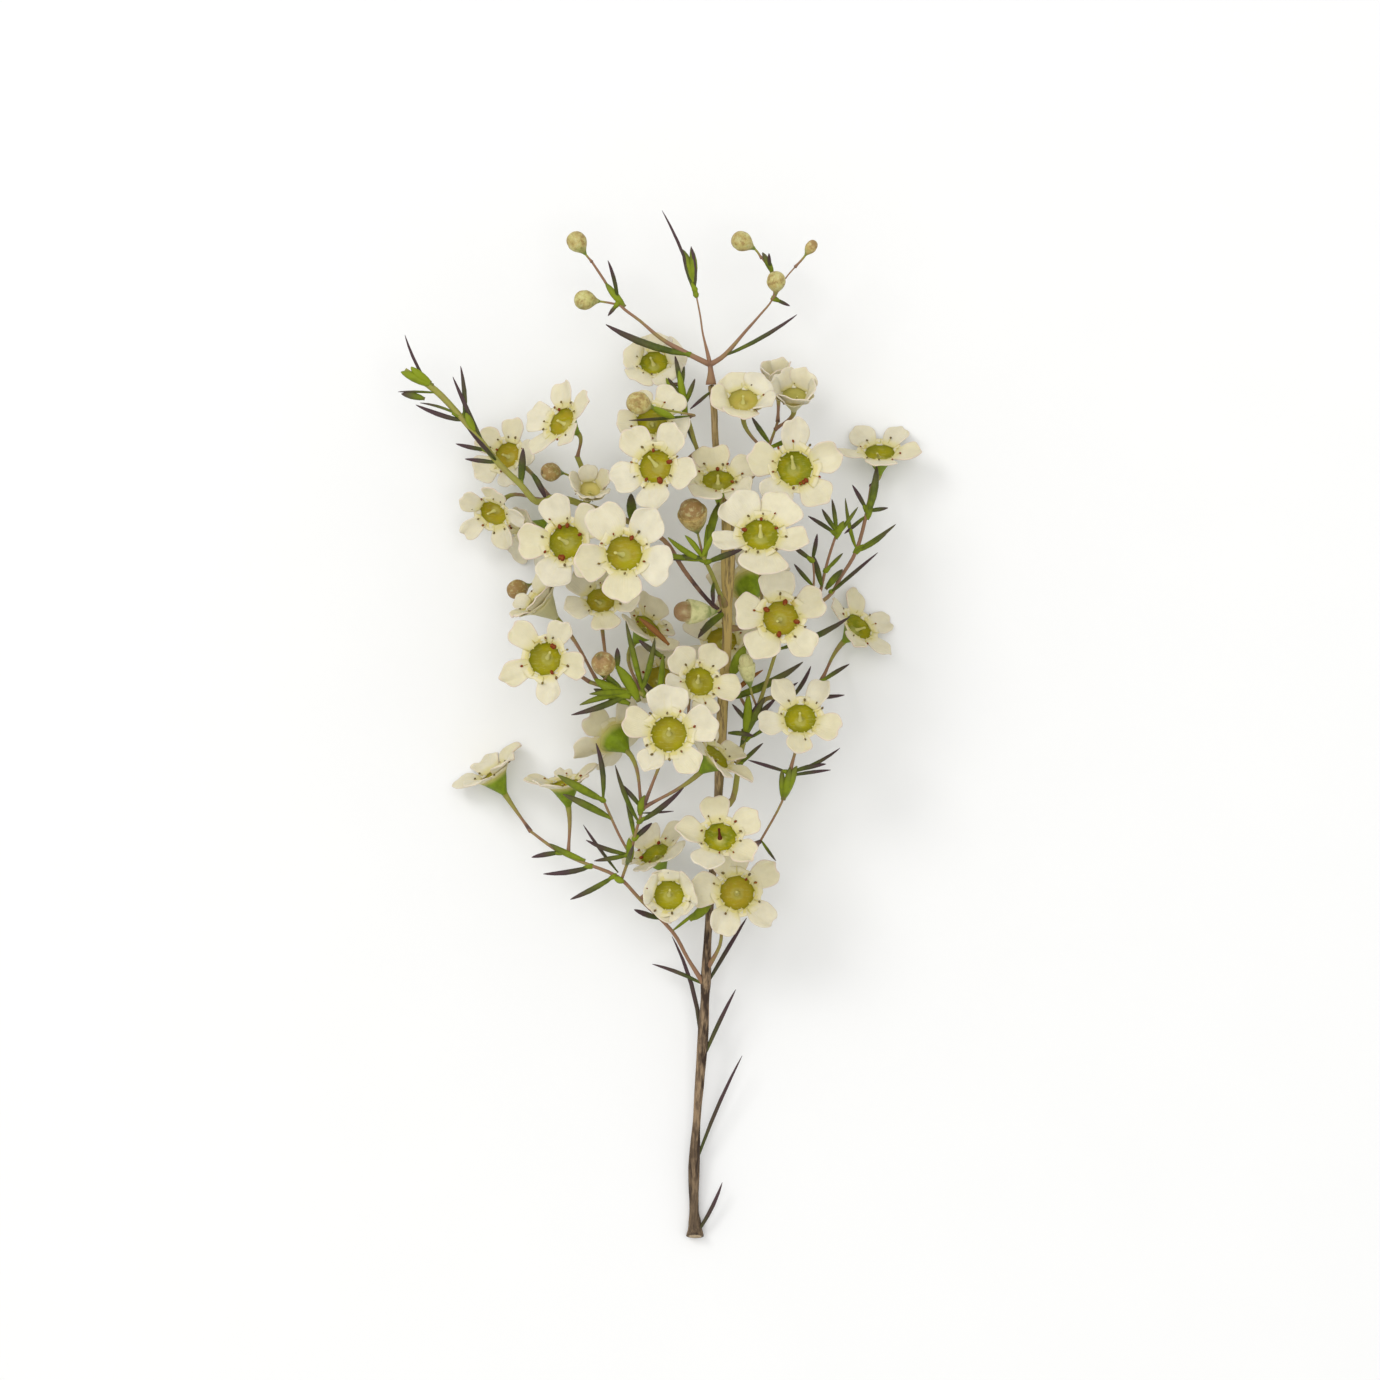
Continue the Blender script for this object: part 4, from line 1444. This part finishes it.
def cup_shape(row, draw):
    """The cup under a bloom with its bowl and its leaning style."""
    profile = CUP_OUTSIDE + CUP_BOWL + CUP_STYLE
    bm = spun(profile, CUP_SIDES)
    layer = bm.verts.layers.float["along"]
    outside, bowl = len(CUP_OUTSIDE), len(CUP_OUTSIDE) + len(CUP_BOWL)
    for face in bm.faces:
        low = min(v[layer] for v in face.verts)
        face.material_index = 0 if low < outside - 0.5 else 1 if low < bowl - 0.5 else 2
    lean, tilt = STYLES.get(row.name, (draw.uniform(0, 360), draw.uniform(*STYLE_TILTS)))
    lean, tilt = math.radians(lean), STYLE_LEAN * tilt
    tone = BOWL_TONES.get(row.name, draw.uniform(*DRAWN_BOWLS))
    pale, dark = float(row.name in PALE_CUPS), float(row.name in DARK_STYLES)
    folded = PALE_BOWLS.get(row.name, 0.0)
    for v in bm.verts:
        step = v[layer]
        if step < outside - 0.5:
            rib = 1 + RIB_DEPTH * math.cos(CUP_RIBS * math.atan2(v.co.y, v.co.x)) * min(1.0, -v.co.z / 2)
            v.co.x *= rib
            v.co.y *= rib
            mark(bm, [v], along=step / (outside - 1), tone=tone, across=pale)
        elif step < bowl - 0.5:
            mark(bm, [v], along=1 - (step - outside) / (len(CUP_BOWL) - 1), tone=tone, across=folded)
        else:
            shift = max(0.0, v.co.z - STYLE_FOOT) * tilt
            v.co.x += shift * math.cos(lean)
            v.co.y += shift * math.sin(lean)
            mark(bm, [v], along=0.0, tone=tone, across=dark)
    bm.transform(placed(row) @ Matrix.Scale(row.size, 4))
    return bm


class WAXFLOWER_OT_cups(bpy.types.Operator):
    """Makes the green cup of each bloom with its bowl and style"""

    bl_idname = "waxflower.cups"
    bl_label = "Cups"

    def execute(self, context):
        finishes = [cup_finish(), bowl_finish(), style_finish()]
        for twig in TWIGS:
            draw = random.Random(f"{SEED} cups {twig}")
            shapes = [cup_shape(row, draw) for row in BLOOMS if row.twig == twig]
            if shapes:
                obj = joined(f"cups_{twig}", shapes, finishes)
                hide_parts(twig)
        return {"FINISHED"}


def bead(place, radius, tone):
    """A small rough grain, such as an anther."""
    bm = marked()
    grain = place @ Matrix.Diagonal(ANTHER_FORM)
    made = bmesh.ops.create_icosphere(bm, subdivisions=1, radius=radius, matrix=grain)
    for face in bm.faces:
        face.material_index = 1
    mark(bm, made["verts"], tone=tone)
    return bm


def spike(foot, tip, wide, narrow, flat, tone):
    """A thin cone from foot to tip."""
    bm = marked()
    way = tip - foot
    turn = way.to_track_quat("Z", "X").to_matrix().to_4x4()
    place = Matrix.Translation((foot + tip) / 2) @ turn @ Matrix.Diagonal((flat, 1.0, 1.0, 1.0))
    made = bmesh.ops.create_cone(bm, cap_ends=True, segments=SPIKE_SIDES, radius1=wide, radius2=narrow,
                                 depth=way.length, matrix=place)
    mark(bm, made["verts"], tone=tone)
    return bm


def ringed(radius, angle, height):
    return Vector((radius * math.cos(angle), radius * math.sin(angle), height))


def rim_shapes(row, draw, count):
    """The cream rim of a bowl, its teeth, and the stamens round it with their anthers."""
    tone = draw.random()
    ring = spun(RIM_LOOP, RIM_SIDES, closed=True)
    phase = draw.uniform(0, math.tau)
    steepness = math.tan(math.radians(min(row.rise, RIM_STEEPEST) * RIM_RISE))
    for v in ring.verts:
        angle = math.atan2(v.co.y, v.co.x)
        swell = 1 + RIM_SWELL * math.sin(RIM_SWELLS * angle + phase)
        far = math.hypot(v.co.x, v.co.y)
        outer = min(1.0, max(0.0, (far - COLLAR_FROM) / (COLLAR_TO - COLLAR_FROM)))
        gap = math.radians(row.spin + FIFTH / 2)
        swell -= outer * (COLLAR_DRAWN_IN + COLLAR_LOBES * math.cos(PETALS * (angle - gap)))
        swell += outer * RIM_FRAY * math.sin(RIM_FRAYS * angle + phase)
        rise = outer * (COLLAR_TO - COLLAR_FROM) * steepness
        up = v.co.z + rise + RIM_WAVE * math.sin(RIM_WAVES * angle + phase)
        v.co = Vector((v.co.x * swell, v.co.y * swell, up))
        mark(ring, [v], along=outer, tone=tone)
    shapes = [ring]
    for k in range(count):
        angle = math.tau * k / count + draw.uniform(-TEETH_STRAY, TEETH_STRAY)
        foot = ringed(STAMEN_FOOT, angle, TEETH_FOOT)
        tip = ringed(draw.uniform(*TEETH_REACHES), angle, draw.uniform(*TEETH_HEIGHTS))
        shapes.append(spike(foot, tip, draw.uniform(*TEETH_WIDTHS), TEETH_TIP, TEETH_FLATNESS, tone))
        angle += math.pi / count + draw.uniform(-STAMENS_STRAY, STAMENS_STRAY)
        foot = ringed(STAMEN_FOOT, angle, STAMEN_START)
        tip = ringed(draw.uniform(*STAMEN_REACHES), angle, draw.uniform(*STAMEN_HEIGHTS))
        shapes.append(spike(foot, tip, *FILAMENT, 1.0, tone))
        if draw.random() < ANTHERS_KEPT:
            turn = angle + draw.uniform(-ANTHERS_TURN, ANTHERS_TURN)
            place = Matrix.Translation(tip) @ Matrix.Rotation(turn, 4, "Z")
            shapes.append(bead(place, draw.uniform(*ANTHER_SIZES), draw.uniform(*ANTHER_TONES)))
    for heading, size in RED_ANTHERS.get(row.name, ()):
        angle = math.radians(heading)
        middle = ringed(RED_ANTHER_REACH, angle, RED_ANTHER_HEIGHT)
        place = Matrix.Translation(middle) @ Matrix.Rotation(angle, 4, "Z")
        shapes.append(bead(place, size, 0.0))
        foot = ringed(STAMEN_FOOT, angle, RED_STAMEN_START)
        tip = ringed(RED_ANTHER_REACH, angle, RED_STAMEN_END)
        shapes.append(spike(foot, tip, *RED_FILAMENT, 1.0, tone))
    for shape in shapes:
        shape.transform(placed(row) @ Matrix.Scale(row.size, 4))
    return shapes


class WAXFLOWER_OT_stamens(bpy.types.Operator):
    """Makes the cream rim of each bowl with its teeth, stamens and anthers"""

    bl_idname = "waxflower.stamens"
    bl_label = "Stamens"

    def execute(self, context):
        count = context.scene.waxflower_centres.stamens
        finishes = [rim_finish(), anther_finish()]
        for row in BLOOMS:
            draw = random.Random(f"{SEED} stamens {row.name}")
            obj = joined(f"stamens_{row.name}", rim_shapes(row, draw, count), finishes)
            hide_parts(f"bloom_{row.name}")
        return {"FINISHED"}


def stem_seat(row, paths, length):
    heading = facing(row.tilt, row.toward)
    end = Vector((row.x, row.y, row.z)) - heading * length
    return nearest(paths[row.twig], *row.joins)[0], end, heading


class WAXFLOWER_OT_twigs(bpy.types.Operator):
    """Makes the young twigs and the pedicels of their blooms and buds"""

    bl_idname = "waxflower.twigs"
    bl_label = "Twigs"

    def execute(self, context):
        own = context.scene.waxflower_greens
        finish = twig_finish()
        paths = all_paths()
        stem = paths["main_stem"][0]
        pedicel = own.pedicel_radius / MM
        for twig, shoots in TWIGS.items():
            check_node(twig)
            shapes = []
            slim, slim_tip, tone, tone_tip = TWIG_LOOKS[twig]
            for number, rows in enumerate(shoots):
                path = path_of(rows)
                last = len(rows) - 1
                fine_tip = slim_tip * SLIM_SHOOTS.get((twig, number), 1.0)
                ease = min(1.0, 2.0 / last)
                shares = [slim + (fine_tip - slim) * min(1.0, i * ease) for i in range(last + 1)]
                radii = [r * part for r, part in zip(path.radii, shares)]
                if number == 0:
                    path.points[0] = nearest([stem], *rows[0][:2])[0]
                    radii[0] *= TWIG_FOOT
                fine = smooth(Path(path.points, radii), TWIG_STEPS)
                tones = (tone, tone_tip) if number == 0 else (tone_tip, tone_tip)
                bm = sweep(fine.points, fine.radii, TWIG_SIDES)
                layers = bm.verts.layers.float
                for v in bm.verts:
                    part = min(1.0, v[layers["along"]] * TONE_HASTE)
                    v[layers["tone"]] = tones[0] + (tones[1] - tones[0]) * part
                shapes.append(bm)
            for row in BLOOMS:
                if row.twig == twig:
                    seat = stem_seat(row, paths, CUP_LENGTH * row.size)
                    shapes.append(stalk(f"bloom_{row.name}", *seat, pedicel * BLOOM_PEDICEL))
            for row in BUDS:
                if row.twig == twig:
                    seat = stem_seat(row, paths, row.length / 2 + BUD_SEAT_GAP)
                    shapes.append(stalk(f"bud_{row.name}", *seat, pedicel * BUD_PEDICEL))
            obj = joined(f"stems_{twig}", shapes, [finish])
            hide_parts(twig)
        return {"FINISHED"}


class WAXFLOWER_OT_needles(bpy.types.Operator):
    """Makes the needle leaves of every twig and of the woody stem"""

    bl_idname = "waxflower.needles"
    bl_label = "Needles"

    def execute(self, context):
        radius = context.scene.waxflower_greens.needle_radius / MM
        finish = needle_finish()
        paths = all_paths()
        for twig, (wide, bright) in NEEDLE_LOOKS.items():
            draw = random.Random(f"{SEED} leaves {twig}")
            shapes = []
            for number, (foot, tip, bow) in enumerate(needle_lines(twig, paths)):
                tone = min(1.0, max(0.0, bright + draw.uniform(*TONES_STRAY)))
                width = wide * draw.uniform(*WIDTHS_STRAY)
                width, tone = NEEDLE_TWEAKS.get((twig, number), (width, tone))
                shapes.append(needle(foot, tip, bow, radius * width, tone))
                if twig != "main_stem" and number % 2 == 0:
                    shapes.append(sheath(foot, tip))
            for foot, tip, width, tone in NODE_LEAVES.get(twig, ()):
                foot, tip = Vector(foot), Vector(tip)
                bow = (tip - foot).cross(Vector((0, 0, 1))) * draw.uniform(-LEAF_BOW, LEAF_BOW)
                shapes.append(needle(foot, tip, bow, width, tone))
            obj = joined(f"needles_{twig}", shapes, [finish])
            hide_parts(twig)
        return {"FINISHED"}


class WAXFLOWER_OT_bark(bpy.types.Operator):
    """Makes the woody stem with its furrowed bark and its cut end"""

    bl_idname = "waxflower.bark"
    bl_label = "Woody stem"

    def execute(self, context):
        own = context.scene.waxflower_bark
        check_node("main_stem")
        draw = random.Random(f"{SEED} bark")
        path = path_of(MAIN_STEM)
        path.points[0].y += CUT_BACK
        fine = smooth(path, BARK_STEPS)
        bm = sweep(fine.points, fine.radii, BARK_SIDES)
        depth = own.relief / MM
        ends = [face for face in bm.faces if len(face.verts) > 4]
        cut = min(ends, key=lambda face: face.calc_center_median().y)
        bmesh.ops.bevel(bm, geom=list(cut.edges), offset=CUT_BEVEL, offset_type="OFFSET", segments=2,
                        profile=0.5, affect="EDGES", material=-1)
        ends = [face for face in bm.faces if len(face.verts) > 4]
        cut = min(ends, key=lambda face: face.calc_center_median().y)
        cut.material_index = 1
        bm.normal_update()
        for v in bm.verts:
            if cut not in v.link_faces:
                v.co += v.normal * draw.uniform(-0.5, 0.5) * depth
            v.co.z = max(v.co.z, LOWEST)
        obj = joined("woody_stem", [bm], [bark_finish(), cut_finish()])
        rounded(obj)
        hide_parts("main_stem")
        return {"FINISHED"}


class WAXFLOWER_OT_buds(bpy.types.Operator):
    """Makes the closed buds with their folded petals"""

    bl_idname = "waxflower.buds"
    bl_label = "Buds"

    def execute(self, context):
        finish = bud_finish()
        for row in BUDS:
            node = f"bud_{row.name}"
            check_node(node)
            draw = random.Random(f"{SEED} bud {row.name}")
            profile = OPENING_BUD if row.name in OPENING else CLOSED_BUD
            bm = spun([(r * row.width / 2, h * row.length / 2) for r, h in profile], BUD_SIDES)
            phase, twist = draw.uniform(0, math.tau), draw.choice((-1.0, 1.0)) * BUD_TWIST
            layer = bm.verts.layers.float["along"]
            tone = BUD_TONES.get(row.name, USUAL_BUD_TONE)
            for v in bm.verts:
                step = v[layer]
                turned = twist * max(0.0, step - CALYX_ROWS) * TWIST_SLOWS
                fold = math.atan2(v.co.y, v.co.x) * PETALS + phase + turned
                seam = max(0.0, math.cos(fold)) ** 3 if step >= CALYX_ROWS else 0.0
                dent = 1 - SEAM_DEPTH * seam + BUD_RIPPLE * math.cos(fold * 2)
                v.co.x *= dent
                v.co.y *= dent
                mark(bm, [v], along=step / (len(profile) - 1), across=seam, tone=tone)
            bm.transform(placed(row))
            obj = joined(f"folded_{node}", [bm], [finish])
            rounded(obj)
            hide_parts(node)
        return {"FINISHED"}


def lamp(name, power, size, place, target):
    """A square area light aimed at the spray."""
    light = bpy.data.lights.new(name, "AREA")
    light.energy = power
    light.size = size
    obj = bpy.data.objects.new(name, light)
    obj.location = place
    obj.rotation_euler = (target - place).to_track_quat("-Z", "Y").to_euler()
    bpy.context.scene.collection.objects.link(obj)


class WAXFLOWER_OT_stage(bpy.types.Operator):
    """Makes the pale floor, the lights and the camera that looks down on the spray"""

    bl_idname = "waxflower.stage"
    bl_label = "Stage"

    def execute(self, context):
        own = context.scene.waxflower_stage
        bm = bmesh.new()
        bmesh.ops.create_grid(bm, x_segments=1, y_segments=1, size=FLOOR_HALF)
        bmesh.ops.translate(bm, vec=(0, 0, -FLOOR_DROP), verts=bm.verts[:])
        mesh = bpy.data.meshes.new("floor")
        bm.to_mesh(mesh)
        bm.free()
        mesh.materials.append(floor_finish())
        floor = bpy.data.objects.new("floor", mesh)
        context.scene.collection.objects.link(floor)
        air = bpy.data.worlds.new("studio air")
        air.use_nodes = True
        air.node_tree.nodes["Background"].inputs["Color"].default_value = (1.0, 1.0, 1.0, 1.0)
        air.node_tree.nodes["Background"].inputs["Strength"].default_value = own.air
        context.scene.world = air
        half = PHOTO_SIDE / 2
        across, up = (half - STEM_COLUMN) * PHOTO_PIXEL, (STEM_ROW - half) * PHOTO_PIXEL
        middle = Vector((across, up, MIDDLE_HEIGHT)) * MM
        for name, (size, place) in LAMPS.items():
            lamp(name, getattr(own, name), size, Vector(place), middle)
        lens = bpy.data.cameras.new("camera")
        lens.lens = own.lens
        lens.sensor_width = SENSOR_WIDTH
        away = PHOTO_SIDE * PHOTO_PIXEL * MM * own.lens / lens.sensor_width
        lens.clip_start, lens.clip_end = CLIPPING
        camera = bpy.data.objects.new("camera", lens)
        camera.location = middle + Vector((0, 0, away))
        context.scene.collection.objects.link(camera)
        context.scene.camera = camera
        context.scene.view_settings.view_transform = "Standard"
        return {"FINISHED"}


GROUPS = {
    "waxflower_petals": WaxflowerPetals,
    "waxflower_centres": WaxflowerCentres,
    "waxflower_greens": WaxflowerGreens,
    "waxflower_bark": WaxflowerBark,
    "waxflower_buds": WaxflowerBuds,
    "waxflower_stage": WaxflowerStage,
}

OPERATORS = (
    WAXFLOWER_OT_stage,
    WAXFLOWER_OT_bark,
    WAXFLOWER_OT_twigs,
    WAXFLOWER_OT_needles,
    WAXFLOWER_OT_cups,
    WAXFLOWER_OT_stamens,
    WAXFLOWER_OT_petals,
    WAXFLOWER_OT_buds,
)


class WAXFLOWER_PT_spray(bpy.types.Panel):
    """Lists the spray's sizes and colours and the steps that make it"""

    bl_idname = "WAXFLOWER_PT_spray"
    bl_label = "Waxflower Spray"
    bl_space_type = "VIEW_3D"
    bl_region_type = "UI"
    bl_category = "Waxflower"

    def draw(self, context):
        for name, group in GROUPS.items():
            box = self.layout.box()
            box.label(text=name.split("_")[1].title())
            for key in group.__annotations__:
                box.prop(getattr(context.scene, name), key)
        for made in OPERATORS:
            self.layout.operator(made.bl_idname)


def register():
    for group in GROUPS.values():
        bpy.utils.register_class(group)
    for name, group in GROUPS.items():
        setattr(bpy.types.Scene, name, PointerProperty(type=group))
    for made in OPERATORS:
        bpy.utils.register_class(made)
    bpy.utils.register_class(WAXFLOWER_PT_spray)


def unregister():
    bpy.utils.unregister_class(WAXFLOWER_PT_spray)
    for made in reversed(OPERATORS):
        bpy.utils.unregister_class(made)
    for name in GROUPS:
        delattr(bpy.types.Scene, name)
    for group in reversed(GROUPS.values()):
        bpy.utils.unregister_class(group)


def main():
    register()
    bpy.ops.waxflower.stage()
    bpy.ops.waxflower.bark()
    bpy.ops.waxflower.twigs()
    bpy.ops.waxflower.needles()
    bpy.ops.waxflower.cups()
    bpy.ops.waxflower.stamens()
    bpy.ops.waxflower.petals()
    bpy.ops.waxflower.buds()


if __name__ == "__main__":
    main()
